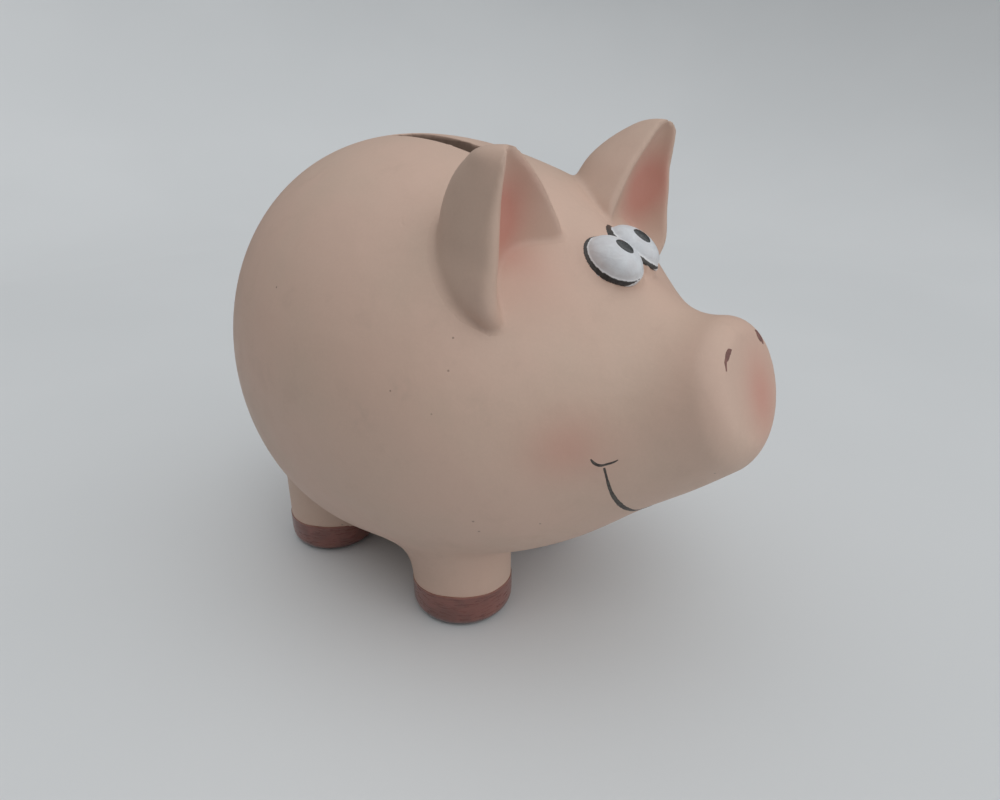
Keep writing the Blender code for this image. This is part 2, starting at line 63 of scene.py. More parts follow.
# ======================================================================
# Dimensions of the cast, in millimetres
# ======================================================================
# Body: rings along an axis from the rump to the snout, stations as fractions of its length
LENGTH, BODY_TILT, SNOUT_LEAN = 170.0, 6.0, 14.0     # tilt and lean in degrees
REAR = np.array([0.0, 85.7, 71.8])
RING_AT = (0.0, 0.07, 0.17, 0.30, 0.44, 0.58, 0.70, 0.80, 0.90, 1.0)
RING_HALF = (0.0, 42.7, 59.0, 65.9, 64.5, 59.0, 49.6, 35.6, 23.5, 17.9)
RISE_AT = (0.0, 0.30, 0.44, 0.58, 0.70, 0.80, 0.90, 1.0)
RISE = (0.0, -1.5, -1.4, -2.2, -1.2, -2.9, -5.0, 1.0)      # ring centre above the axis
WIDE_AT = (0.0, 0.30, 0.55, 0.78, 1.0)
WIDE = (0.883, 0.946, 1.064, 1.10, 1.10)                   # ring width over height
SNOUT_RIM = 5.6
BROW_RISE, BROW_AT, BROW_LONG, BROW_WIDE = 6.0, 0.81, 14.0, 12.0
WALL = 4.5
# x, y, radius, direction of the crease with the belly, softness there, softness elsewhere
LEGS = {
    "front_left": (25.3, 0.6, 15.9, (-0.61, -0.79), 2.0, 16.0),
    "front_right": (-22.3, -5.9, 15.9, (0.61, -0.79), 2.0, 16.0),
    "rear_left": (22.3, 57.1, 15.4, (0.61, 0.79), 3.0, 14.0),
    "rear_right": (-22.3, 57.1, 15.4, (-0.61, 0.79), 3.0, 14.0),
}
SLOT_Y, SLOT_HALF_X, SLOT_HALF_Y, SLOT_CORNER = 16.7, 4.0, 19.0, 3.5
BORE_Y, BORE_R, SEAT_R, SEAT_Z = 25.9, 9.5, 13.6, 12.8     # bore in the belly, its spot face

# Left ear: corners of its front plane, then half-sizes at heights up the ear
EAR_TIP = np.array([38.5, -35.5, 147.5])
EAR_MEDIAL = np.array([12.8, -30.3, 124.0])
EAR_LATERAL = np.array([41.0, -33.3, 107.5])
EAR_H = (-0.45, -0.17, 0.06, 0.33, 0.50, 0.63, 0.77, 0.89, 0.96, 1.004)
EAR_CROWN = (13.0, 15.0, 17.6, 15.6, 13.5, 11.2, 8.4, 5.6, 3.5, 0.0)
EAR_CHEEK = (16.0, 17.1, 19.1, 15.2, 12.4, 10.1, 7.6, 5.2, 3.4, 0.0)
EAR_DEEP = (19.0, 18.9, 23.6, 22.1, 20.5, 18.4, 15.0, 11.0, 7.8, 0.0)
EAR_SKEW = (0.0, 0.0, 1.3, 2.2, 2.7, 2.6, 1.9, 1.0, 0.2, 0.0)
EAR_CUP = 0.34
# how far each rim stands in front of the ear's plane, up the ear
EAR_RIM_H = (0.0, 0.40, 0.70, 0.95)
EAR_CHEEK_RIM = (3.6, 3.1, 3.1, 2.8)
EAR_CROWN_RIM = (4.0, 2.5, 2.0, 1.5)

ENAMEL = 0.07         # paint on the eyes
PAD_MARGIN = 0.9      # the skin's table round each eye
EDGE_SINK = 0.015     # how far the webs of ears and tail end under the skin


class Spline:
    """Natural cubic through a few stations, straight beyond the ends."""

    def __init__(self, xs, ys):
        x, y = np.array(xs, float), np.array(ys, float)
        count, gap = len(x), np.diff(x)
        system, right = np.zeros((count, count)), np.zeros(count)
        system[0, 0] = system[-1, -1] = 1.0
        for i in range(1, count - 1):
            system[i, i - 1:i + 2] = gap[i - 1], 2 * (gap[i - 1] + gap[i]), gap[i]
            right[i] = 6 * ((y[i + 1] - y[i]) / gap[i] - (y[i] - y[i - 1]) / gap[i - 1])
        self.x, self.y, self.bend = x, y, np.linalg.solve(system, right)

    def both(self, at):
        """Value and slope."""
        x, y, bend = self.x, self.y, self.bend
        i = np.clip(np.searchsorted(x, at) - 1, 0, len(x) - 2)
        gap = x[i + 1] - x[i]
        held = np.clip(at, x[0], x[-1])
        a, b = (x[i + 1] - held) / gap, (held - x[i]) / gap
        curve = (a**3 - a) * bend[i] + (b**3 - b) * bend[i + 1]
        value = a * y[i] + b * y[i + 1] + curve * gap * gap / 6
        turn = -(3 * a * a - 1) * bend[i] + (3 * b * b - 1) * bend[i + 1]
        slope = (y[i + 1] - y[i]) / gap + turn * gap / 6
        return value + slope * (at - held), slope

    def __call__(self, at):
        return self.both(at)[0]


def smooth01(t):
    t = np.clip(t, 0.0, 1.0)
    return t * t * (3 - 2 * t)


def unit(vector):
    return np.asarray(vector, float) / np.linalg.norm(vector)


def round_and(a, b, radius):
    """Where both hold, with a rounded corner."""
    over_a, over_b = np.maximum(a + radius, 0.0), np.maximum(b + radius, 0.0)
    corner = (a > -radius) & (b > -radius)
    return np.where(corner, np.hypot(over_a, over_b) - radius, np.maximum(a, b))


def soft_or(a, b, reach):
    """Either, with a soft web between them that runs out smoothly."""
    web = np.maximum(reach - np.abs(a - b), 0.0) / reach
    return np.minimum(a, b) - web**3 * reach / 6.0


def gradient(form, pos, step=0.02):
    slope = np.empty_like(pos)
    for i in range(3):
        ahead, behind = pos.copy(), pos.copy()
        ahead[..., i] += step
        behind[..., i] -= step
        slope[..., i] = (form(ahead) - form(behind)) / (2 * step)
    return slope


def normals(form, pos):
    slope = gradient(form, pos)
    return slope / np.linalg.norm(slope, axis=-1, keepdims=True)


# ---------------------------------------------------------------- eyes
class Eye:
    """One eye's frame on the forehead, its dome and the low table of skin under it."""

    def __init__(self, side, centre, across, down, half, pupil, line):
        self.side, self.pupil, self.line = side, pupil, line
        self.centre, self.across = np.array(centre), unit(across)
        self.down = unit(np.array(down) - self.across * (np.array(down) @ self.across))
        self.out = np.cross(self.across, -self.down)
        self.half = np.array(half)

    def local(self, pos):
        """Position in a frame where the dome is the unit sphere."""
        rel = pos - self.centre
        return np.stack([rel @ self.across, rel @ self.down, rel @ self.out], -1) / self.half

    def point(self, local):
        x, y, z = local * self.half
        return self.centre + x * self.across + y * self.down + z * self.out

    def pad(self, pos):
        rel, half = pos - self.centre, self.half + PAD_MARGIN
        a, b = (rel @ self.across) / half[0], (rel @ self.down) / half[1]
        r = np.hypot(a, b)
        wall = (r - 1.0) * r / np.maximum(np.hypot(a / half[0], b / half[1]), 1e-3)
        return round_and(wall, rel @ self.out + 0.15, 1.1)

    def enamel(self, pos):
        """Painted dome running into the skin at a tight foot."""
        local = self.local(pos)
        r = np.linalg.norm(local, axis=-1)
        dome = (r - 1.0) * r / np.maximum(np.linalg.norm(local / self.half, axis=-1), 1e-3)
        return soft_or(dome, d_head(pos), 1.6) - ENAMEL

    def foot(self, pos):
        """Distance outside the dome's foot; angle round it, 0 outwards, 90 degrees down."""
        local = self.local(pos)
        r = np.hypot(local[..., 0], local[..., 1])
        angle = np.arctan2(local[..., 1], local[..., 0] * self.side)
        size = np.hypot(self.half[0] * np.cos(angle), self.half[1] * np.sin(angle))
        return (r - 1.0) * size, angle

    def outline(self, angle):
        """Width of the drawn outline round the foot."""
        least, bias, swing, turn = self.line
        return least + 0.95 * smooth01(bias + swing * np.cos(angle + math.radians(turn)))


# half: half-sizes across, down and out; pupil: its seat on the unit dome
# line: least width, bias, swing and turn of the thick part; thick at the upper inner
# corner of the left eye and on the outer side of the right one
EYES = {
    "left": Eye(
        side=1.0, centre=(6.04, -44.29, 118.36), across=(0.939, 0.222, -0.261),
        down=(0.069, -0.869, -0.490), half=(5.78, 7.82, 4.65), pupil=(-0.42, 0.05),
        line=(0.75, 0.2, 0.9, 130.0)),
    "right": Eye(
        side=-1.0, centre=(-5.42, -45.25, 117.76), across=(0.950, -0.084, 0.301),
        down=(0.066, -0.888, -0.454), half=(5.78, 7.96, 4.65), pupil=(0.25, 0.07),
        line=(0.30, 0.35, 0.8, 14.0)),
}

# ---------------------------------------------------------------- body
AREA = Spline(LENGTH * np.array(RING_AT), np.square(RING_HALF))
CENTRE = Spline(LENGTH * np.array(RISE_AT), RISE)
RATIO = Spline(LENGTH * np.array(WIDE_AT), WIDE)
TILT = math.radians(BODY_TILT)
ALONG = np.array([0.0, -math.cos(TILT), math.sin(TILT)])
UPRIGHT = np.array([0.0, math.sin(TILT), math.cos(TILT)])


def lean(along):
    share = smooth01((along - 0.45 * LENGTH) / (0.5 * LENGTH))
    return -math.tan(math.radians(SNOUT_LEAN)) * share


def body_coords(pos):
    """Distance along the axis to the leaning ring through pos, height over its centre."""
    straight, above = (pos - REAR) @ ALONG, (pos - REAR) @ UPRIGHT
    along = straight
    for _ in range(4):
        along = straight - lean(along) * (above - CENTRE(along))
    return along, above - CENTRE(along)


def d_cast(pos):
    """Body and snout as lofted."""
    along, above = body_coords(pos)
    brow = ((along - BROW_AT * LENGTH) / BROW_LONG) ** 2
    lift = BROW_RISE * np.exp(-brow - (pos[..., 0] / BROW_WIDE) ** 2)
    above = above - lift * smooth01(above / 8.0)
    area, slope = AREA.both(along)
    square = above * above + (pos[..., 0] / RATIO(np.clip(along, 0, LENGTH))) ** 2
    side = (square - area) / np.sqrt(4 * square + slope * slope + 1e-9)
    return round_and(side, along - LENGTH, SNOUT_RIM)


def d_head(pos):
    """Body and snout with the eyes' tables, without legs or ears."""
    dist = d_cast(pos)
    near = (np.abs(pos - np.array([0.0, -46.0, 116.0])) < 18.0).all(-1)
    if near.any():
        close = pos[near]
        pads = np.minimum(EYES["right"].pad(close), EYES["left"].pad(close))
        dist[near] = soft_or(dist[near], pads, 3.4)
    return dist


def d_skin(pos):
    """The outer skin: body, snout, and the legs with their webs."""
    dist = d_head(pos)
    for x, y, radius, crease, soft_crease, soft in LEGS.values():
        dx, dy = pos[..., 0] - x, pos[..., 1] - y
        rad = np.hypot(dx, dy)
        facing = (dx * crease[0] + dy * crease[1]) / np.maximum(rad, 3.0)
        reach = soft_crease + (soft - soft_crease) * smooth01(0.62 - 0.75 * facing)
        leg = np.maximum(rad - radius, np.maximum(5.5 - pos[..., 2], pos[..., 2] - 58.0))
        dist = soft_or(dist, leg, reach)
    return dist


def d_shell(pos):
    """Skin, hollowed, slotted and bored."""
    x, y, z = pos[..., 0], pos[..., 1], pos[..., 2]
    dist = round_and(d_skin(pos), -(d_head(pos) + WALL), 0.6)
    dx = np.abs(x) - SLOT_HALF_X + SLOT_CORNER
    dy = np.abs(y - SLOT_Y) - SLOT_HALF_Y + SLOT_CORNER
    slot = np.hypot(np.maximum(dx, 0), np.maximum(dy, 0)) + np.minimum(np.maximum(dx, dy), 0)
    slot = np.where(z > 90.0, slot - SLOT_CORNER, 30.0)     # only through the back
    dist = round_and(dist, -slot, 0.3)
    rad = np.hypot(x, y - BORE_Y)
    dist = round_and(dist, -np.maximum(rad - SEAT_R, z - SEAT_Z), 0.7)
    return round_and(dist, -np.maximum(rad - BORE_R, z - 40.0), 0.5)


# ---------------------------------------------------------------- ears
EAR_BASE = (EAR_MEDIAL + EAR_LATERAL) / 2
EAR_TALL = float(np.linalg.norm(EAR_TIP - EAR_BASE))
EAR_AXIS = (EAR_TIP - EAR_BASE) / EAR_TALL
EAR_BACK = unit(np.cross(EAR_MEDIAL - EAR_TIP, EAR_LATERAL - EAR_TIP))
EAR_BACK = EAR_BACK if EAR_BACK[1] > 0 else -EAR_BACK
EAR_ACROSS = np.cross(EAR_BACK, EAR_AXIS)
EAR_ACROSS = EAR_ACROSS if EAR_ACROSS @ (EAR_MEDIAL - EAR_LATERAL) > 0 else -EAR_ACROSS
CROWN_SQ, CHEEK_SQ, DEEP_SQ = (
    Spline(EAR_H, np.square(half)) for half in (EAR_CROWN, EAR_CHEEK, EAR_DEEP))
SKEW = Spline(EAR_H, EAR_SKEW)
CHEEK_RIM, CROWN_RIM = Spline(EAR_RIM_H, EAR_CHEEK_RIM), Spline(EAR_RIM_H, EAR_CROWN_RIM)


def ear_coords(pos):
    """Share of the ear's height, way towards the crown, depth behind the front plane."""
    rel = pos - EAR_BASE
    return (rel @ EAR_AXIS) / EAR_TALL, rel @ EAR_ACROSS, rel @ EAR_BACK


def ear_forms(pos):
    """Outer cone and hollow of the left ear, unscaled, and the rounding of its rim."""
    high, wide, depth = ear_coords(pos)
    high = np.maximum(high, EAR_H[0])
    crown, cheek, deep = (
        np.sqrt(np.maximum(square(high), 0.04)) for square in (CROWN_SQ, CHEEK_SQ, DEEP_SQ))
    skew = SKEW(np.minimum(high, EAR_H[-1]))
    mid, half = (crown - cheek) / 2, (crown + cheek) / 2
    swing = np.clip((wide - mid) / half, -1.0, 1.0)     # -1 at the cheek, 1 at the crown
    held = np.clip(high, -0.1, 1.0)
    forward = 0.5 * (CHEEK_RIM(held) * (1 - swing) + CROWN_RIM(held) * (1 + swing))
    behind = np.where(depth < 0, depth / np.maximum(deep, 6.0) * 0.6, depth / deep)
    aside = (wide - mid - (skew - mid) * np.clip(behind, 0, 1)) / half
    back = (aside * aside + behind * behind - 1.0) * half * deep
    front = EAR_CUP * deep * (1 - swing * swing) ** 1.6 - depth - forward
    past = (high - EAR_H[-1]) * EAR_TALL
    back = np.where(past > 0, np.maximum(back, past * half * deep), back)
    rim = np.minimum(3.7 - 1.5 * swing, 0.50 * half)
    return back, front, rim


def d_ear(pos):
    """The left ear's own form: a deep cone, cupped in front."""
    step = 0.05
    back, front, rim = ear_forms(pos)
    back_slope, front_slope = 0.0, 0.0
    for i in range(3):
        moved = pos.copy()
        moved[..., i] += step
        back_moved, front_moved, _ = ear_forms(moved)
        back_slope = back_slope + ((back_moved - back) / step) ** 2
        front_slope = front_slope + ((front_moved - front) / step) ** 2
    back = back / np.maximum(np.sqrt(back_slope), 0.3)
    front = front / np.maximum(np.sqrt(front_slope), 0.5)
    return round_and(back, front, rim)


def ear_piece(side):
    """The ear with its web onto the head; its edge dies out a hair under the skin."""

    def form(pos):
        pos = pos.copy()
        pos[..., 0] *= side
        ear, head = d_ear(pos), d_head(pos)
        reach = 1.3 + 1.3 * smooth01((ear_coords(pos)[2] - 1.0) / 6.0)
        dist = soft_or(ear, head, reach) + EDGE_SINK
        return np.maximum(np.maximum(dist, ear - reach - 0.5), -(head + 3.0))

    return form


# ======================================================================
# Meshing
# ======================================================================
def stations(low, high, step, *fine):
    """Grid stations from low to high, closer together in the (from, to, step) spans."""
    out = [low]
    while out[-1] < high:
        here = [size for start, end, size in fine if start <= out[-1] < end]
        out.append(out[-1] + min([step] + here))
    return np.array(out)


def box_stations(low, high, step):
    return [stations(start, end, step) for start, end in zip(low, high)]


def evaluate(form, xs, ys, zs):
    values = np.empty((len(xs), len(ys), len(zs)))
    yy, zz = np.meshgrid(ys, zs, indexing="ij")
    for i, x in enumerate(xs):
        values[i] = form(np.stack([np.full_like(yy, x), yy, zz], -1))
    return values


def settle(form, pos, cap, rounds=3):
    """Moves points onto form = 0 along its slope, at most cap each time."""
    for _ in range(rounds):
        dist, slope = form(pos), gradient(form, pos)
        move = slope * (dist / np.maximum((slope * slope).sum(-1), 0.05))[..., None]
        size = np.linalg.norm(move, axis=-1, keepdims=True)
        pos = pos - move * np.minimum(1.0, cap / np.maximum(size, 1e-9))
    return pos


def surface(form, xs, ys, zs, cap):
    """Closed quad mesh of form = 0: one vertex per grid cell that the surface crosses."""
    values = evaluate(form, xs, ys, zs)
    inside = values < 0
    cells = [len(xs) - 1, len(ys) - 1, len(zs) - 1]
    count = np.zeros(cells, int)
    for corner in range(8):
        i, j, k = corner & 1, (corner >> 1) & 1, corner >> 2
        count += inside[i:i + cells[0], j:j + cells[1], k:k + cells[2]]
    active = (count > 0) & (count < 8)
    index = -np.ones(cells, int)
    index[active] = np.arange(active.sum())
    ii, jj, kk = np.nonzero(active)

    # mean of the crossings on each cell's edges
    total, hits = np.zeros((len(ii), 3)), np.zeros(len(ii))
    for corner in range(8):
        for bit in (1, 2, 4):
            if corner & bit:
                continue
            start = np.array([(corner >> s) & 1 for s in range(3)])
            end = np.array([((corner | bit) >> s) & 1 for s in range(3)])
            at_start = values[ii + start[0], jj + start[1], kk + start[2]]
            at_end = values[ii + end[0], jj + end[1], kk + end[2]]
            cut = (at_start < 0) != (at_end < 0)
            share = at_start[cut] / (at_start[cut] - at_end[cut])
            total[cut] += start + share[:, None] * (end - start)
            hits[cut] += 1
    total /= hits[:, None]
    pos = np.stack([
        grid[at] + total[:, axis] * (grid[at + 1] - grid[at])
        for axis, (grid, at) in enumerate(((xs, ii), (ys, jj), (zs, kk)))
    ], -1)
    pos = settle(form, pos, cap)

    # one quad round every grid edge that the surface crosses
    quads = []
    for axis in range(3):
        order = (axis, (axis + 1) % 3, (axis + 2) % 3)
        state = np.moveaxis(inside, order, (0, 1, 2))
        cell = np.moveaxis(index, order, (0, 1, 2))
        i, j, k = np.nonzero(state[:-1, 1:-1, 1:-1] != state[1:, 1:-1, 1:-1])
        j, k = j + 1, k + 1
        quad = np.stack(
            [cell[i, j - 1, k - 1], cell[i, j, k - 1], cell[i, j, k], cell[i, j - 1, k]], -1)
        flip = ~state[i, j, k]
        quad[flip] = quad[flip][:, ::-1]
        quads.append(quad)
    return pos, np.concatenate(quads)


def ring(radius, height, angles, x=0.0, y=0.0):
    level = np.full(len(angles), height)
    return np.stack([x + radius * np.cos(angles), y + radius * np.sin(angles), level], -1)


def circle(segs):
    return np.arange(segs) * 2 * math.pi / segs


def bands(rings, segs, first=0, flip=False):
    """Quads between successive closed rings whose vertices start at first."""
    faces = []
    for a in range(first, first + (rings - 1) * segs, segs):
        for i in range(segs):
            j = (i + 1) % segs
            quad = (a + i, a + segs + i, a + segs + j, a + j)
            faces.append((quad[0],) + quad[:0:-1] if flip else quad)
    return faces


def turned(start, rings, end, flip=False):
    """Closed solid through rings, with a point at either end."""
    segs = len(rings[0])
    verts = np.array([start] + [point for row in rings for point in row] + [end])
    tip, last = len(verts) - 1, len(verts) - 1 - segs
    pairs = [(i, (i + 1) % segs) for i in range(segs)]
    faces = [(0, 1 + j, 1 + i) if flip else (0, 1 + i, 1 + j) for i, j in pairs]
    faces += bands(len(rings), segs, 1, flip)
    faces += [(last + i, last + j, tip) if flip else (last + j, last + i, tip) for i, j in pairs]
    return verts, faces


def piece(name, verts, faces, mat, slot, *nodes, body="bank", sharp=None):
    """A mesh piece from mm vertices; it rides on a CAD body and stands for CAD nodes."""
    mesh = bpy.data.meshes.new(name)
    faces = [list(map(int, face)) for face in faces]
    mesh.from_pydata((np.asarray(verts) * MM).tolist(), [], faces)
    mesh.validate()
    mesh.shade_smooth()
    if sharp:
        mesh.set_sharp_from_angle(angle=math.radians(sharp))
    ob = bpy.data.objects.new(name, mesh)
    bpy.context.scene.collection.objects.link(ob)
    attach(ob, body)
    if nodes:
        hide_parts(*nodes)
    mesh.materials.clear()
    mesh.materials.append(mat)
    return ob


def paint(ob, name, values):
    """A number per vertex that the materials read."""
    layer = ob.data.attributes.new(name, "FLOAT", "POINT")
    layer.data.foreach_set("value", np.asarray(values, np.float32))


def puff(pos, centre, reach, falloff):
    rel = (pos - np.array(centre)) / np.array(reach)
    return np.exp(-((rel**2).sum(-1)) * falloff)


def painted_spray(pos):
    """Airbrushed blush: cheeks, snout face and the hollows of the ears, 0 to 1."""
    folded = pos.copy()
    folded[..., 0] = np.abs(folded[..., 0])
    cheek = 0.46 * puff(folded, centre=(37.0, -53.0, 79.0), reach=(9.5, 9.5, 7.6), falloff=0.8)
    snout = 0.75 * puff(pos, centre=(4.6, -84.5, 87.0), reach=(10.0, 8.0, 13.5), falloff=1.2)
    high, wide, depth = ear_coords(folded)
    aim = np.where(pos[..., 0] < 0.0, 1.0, -3.8)  # nearer to the crown on the right ear
    reach = np.exp(-(((high - 0.44) / 0.34) ** 2) - ((wide - aim) / 7.2) ** 2)
    hollow = smooth01((ear_forms(folded)[1] + 1.6) / 1.5)
    low = np.exp(-(((high - 0.02) / 0.22) ** 2) - ((wide + 4.0) / 9.0) ** 2)
    low = low * smooth01((6.0 - depth) / 6.0)
    return np.clip(cheek + snout + 1.25 * np.maximum(reach, 0.16 * low) * hollow, 0.0, 1.0)


# ======================================================================
# Materials: every finish is made of nodes, sizes in millimetres
# ======================================================================
class Finish:
    def __init__(self, name):
        self.mat = bpy.data.materials.new(name)
        self.mat.use_nodes = True
        self.tree = self.mat.node_tree
        self.tree.nodes.clear()
        out = self.node("OutputMaterial")
        self.bsdf = self.node("BsdfPrincipled")
        self.tree.links.new(self.bsdf.outputs[0], out.inputs[0])
        coord = self.node("TexCoord")
        self.mm = self.vec("MULTIPLY", coord.outputs["Object"], (1000.0,) * 3)

    def node(self, kind):
        return self.tree.nodes.new("ShaderNode" + kind)

    def put(self, socket, value):
        if isinstance(value, bpy.types.NodeSocket):
            self.tree.links.new(value, socket)
        elif isinstance(value, tuple) and len(value) == 3 and socket.type == "RGBA":
            socket.default_value = (*value, 1.0)
        else:
            socket.default_value = value

    def math(self, op, a, b=0.0, c=0.0, clamp=False):
        node = self.node("Math")
        node.operation, node.use_clamp = op, clamp
        for i, value in enumerate((a, b, c)):
            self.put(node.inputs[i], value)
        return node.outputs[0]

    def plus(self, a, b, clamp=False):
        return self.math("ADD", a, b, clamp=clamp)

    def times(self, a, b):
        return self.math("MULTIPLY", a, b)

    def centred(self, value, size):
        """A 0 to 1 value spread over size, with its middle at 0."""
        return self.math("MULTIPLY_ADD", value, size, -size / 2)

    def vec(self, op, a, b):
        node = self.node("VectorMath")
        node.operation = op
        self.put(node.inputs[0], a)
        self.put(node.inputs[1], b)
        return node.outputs["Value"] if op in ("DISTANCE", "DOT_PRODUCT") else node.outputs[0]

    def distance(self, place):
        return self.vec("DISTANCE", self.mm, place)

    def noise(self, scale, detail=3.0, rough=0.6, warp=0.0, stretch=None):
        at = self.vec("MULTIPLY", self.mm, stretch) if stretch else self.mm
        node = self.node("TexNoise")
        self.put(node.inputs["Vector"], at)
        node.inputs["Scale"].default_value = scale
        node.inputs["Detail"].default_value = detail
        node.inputs["Roughness"].default_value = rough
        node.inputs["Distortion"].default_value = warp
        return node.outputs["Fac"]

    def cells(self, scale):
        node = self.node("TexVoronoi")
        self.put(node.inputs["Vector"], self.mm)
        node.inputs["Scale"].default_value = scale
        return node.outputs["Distance"], node.outputs["Color"]

    def step(self, value, span, to=(0.0, 1.0)):
        """Smooth step from to[0] to to[1] while value crosses span."""
        node = self.node("MapRange")
        node.interpolation_type = "SMOOTHSTEP"
        self.put(node.inputs["Value"], value)
        for key, number in zip(("From Min", "From Max", "To Min", "To Max"), (*span, *to)):
            self.put(node.inputs[key], number)
        return node.outputs[0]

    def mix(self, share, a, b):
        node = self.node("Mix")
        node.data_type = "RGBA"
        self.put(node.inputs[0], share)
        self.put(node.inputs[6], a)
        self.put(node.inputs[7], b)
        return node.outputs[2]

    def blend(self, value, span, a, b, to=(0.0, 1.0)):
        """Colour a turning into b while value crosses span."""
        return self.mix(self.step(value, span, to), a, b)

    def attribute(self, name):
        node = self.node("Attribute")
        node.attribute_name = name
        return node.outputs["Fac"]

    def bump(self, height, distance):
        node = self.node("Bump")
        node.inputs["Strength"].default_value = 1.0
        node.inputs["Distance"].default_value = distance * MM
        self.put(node.inputs["Height"], height)
        self.put(self.bsdf.inputs["Normal"], node.outputs[0])

    def finish(self, colour, rough, spec=0.5, coat=0.0, coat_rough=0.1):
        self.put(self.bsdf.inputs["Base Color"], colour)
        self.put(self.bsdf.inputs["Roughness"], rough)
        self.bsdf.inputs["Specular IOR Level"].default_value = spec
        self.bsdf.inputs["Coat Weight"].default_value = coat
        self.bsdf.inputs["Coat Roughness"].default_value = coat_rough
        return self.mat


SPECKS = (  # small marks fired into the paint: place and radius
    ((-49.6, -33.7, 56.4), 0.42), ((-47.0, -33.5, 51.8), 0.40), ((-37.6, -46.4, 54.6), 0.34),
    ((-13.4, -81.6, 71.8), 0.42), ((-56.9, -27.4, 88.3), 0.34), ((-52.1, -28.9, 98.3), 0.36),
    ((-48.6, -27.6, 105.2), 0.32), ((-60.1, -17.3, 92.7), 0.30),
)
SMUDGES = (  # greyish handling marks on the right flank: place and radius
    ((-63.5, -10.4, 84.7), 7.0), ((-58.9, -19.9, 93.6), 6.0), ((-52.0, -40.0, 90.0), 9.0),
)
BLUSH, SPECK_BROWN, SMUDGE_GREY = (0.560, 0.262, 0.205), (0.105, 0.072, 0.055), (0.30, 0.25, 0.20)
CLAY, DARK_CLAY = (0.33, 0.228, 0.178), (0.27, 0.184, 0.143)
# an arc pressed in high on the right side: centre and radius of its circle, its own middle
SCAR_CENTRE, SCAR_R, SCAR_MIDDLE = (-37.0, -4.3, 127.7), 2.4, (-38.6, -2.4, 127.2)


def skin_paint(name, base, warm, cool):
    mat = Finish(name)
    broad = mat.noise(scale=0.022, rough=0.55)
    mid = mat.noise(scale=0.11, detail=4.0, warp=0.4)
    fine = mat.noise(scale=1.1)
    col = mat.blend(broad, (0.36, 0.66), warm, cool)
    col = mat.mix(0.55, base, col)
    dark = tuple(c * 0.90 for c in base)
    col = mat.blend(mid, (0.52, 0.78), col, dark, to=(0.0, 0.42))
    light = tuple(min(1.0, c * 1.10) for c in base)
    col = mat.blend(fine, (0.35, 0.75), col, light, to=(0.0, 0.20))
    # airbrushed blush, grainy at its edge
    grain = mat.centred(mat.noise(scale=1.7, detail=2.0, rough=0.7), 0.22)
    spray = mat.plus(
        mat.attribute("spray"), mat.times(grain, mat.attribute("spray")), clamp=True)
    col = mat.mix(spray, col, BLUSH)
    # pinholes in some of the cells, and specks
    dist, tint = mat.cells(scale=0.075)
    pick = mat.step(mat.vec("DOT_PRODUCT", tint, (1.0, 0.0, 0.0)), (0.72, 0.73))
    dots = mat.times(mat.step(dist, (0.012, 0.030), to=(1.0, 0.0)), pick)
    for place, radius in SPECKS:
        speck = mat.step(mat.distance(place), (radius * 0.5, radius * 1.25), to=(0.9, 0.0))
        dots = mat.math("MAXIMUM", dots, speck)
    col = mat.mix(mat.times(dots, 0.62), col, SPECK_BROWN)
    for place, radius in SMUDGES:
        smudge = mat.step(mat.distance(place), (0.0, radius), to=(0.16, 0.0))
        patchy = mat.step(mat.noise(scale=0.45, detail=4.0), (0.35, 0.7))
        col = mat.mix(mat.times(smudge, patchy), col, SMUDGE_GREY)
    # raw clay where the paint stops inside the slot and the bore
    edge = mat.plus(mat.attribute("depth"), mat.times(mat.noise(scale=0.9), 0.2))
    clay = mat.blend(mat.noise(scale=0.5, detail=5.0), (0.35, 0.7), CLAY, DARK_CLAY)
    raw = mat.step(edge, (-0.36, -0.08), to=(1.0, 0.0))
    col = mat.mix(raw, col, clay)
    # relief: broad waves, ripples, grain, then the dots and the scar pressed in
    height = mat.times(mat.noise(scale=0.07, detail=2.0, rough=0.5), 0.9)
    height = mat.plus(height, mat.times(mat.noise(scale=0.35), 0.07))
    height = mat.plus(height, mat.times(mat.noise(scale=1.8, detail=4.0, rough=0.65), 0.035))
    height = mat.math("SUBTRACT", height, mat.times(dots, 0.10))
    off_arc = mat.math("ABSOLUTE", mat.math("SUBTRACT", mat.distance(SCAR_CENTRE), SCAR_R))
    arc = mat.step(off_arc, (0.0, 0.7), to=(1.0, 0.0))
    near = mat.step(mat.distance(SCAR_MIDDLE), (0.9, 2.2), to=(1.0, 0.0))
    height = mat.math("SUBTRACT", height, mat.times(mat.times(arc, near), 0.10))
    mat.bump(height, distance=0.55)
    rough = mat.step(mid, (0.3, 0.8), to=(0.50, 0.60))
    rough = mat.plus(rough, mat.times(raw, 0.3), clamp=True)
    return mat.finish(col, rough, spec=0.42)


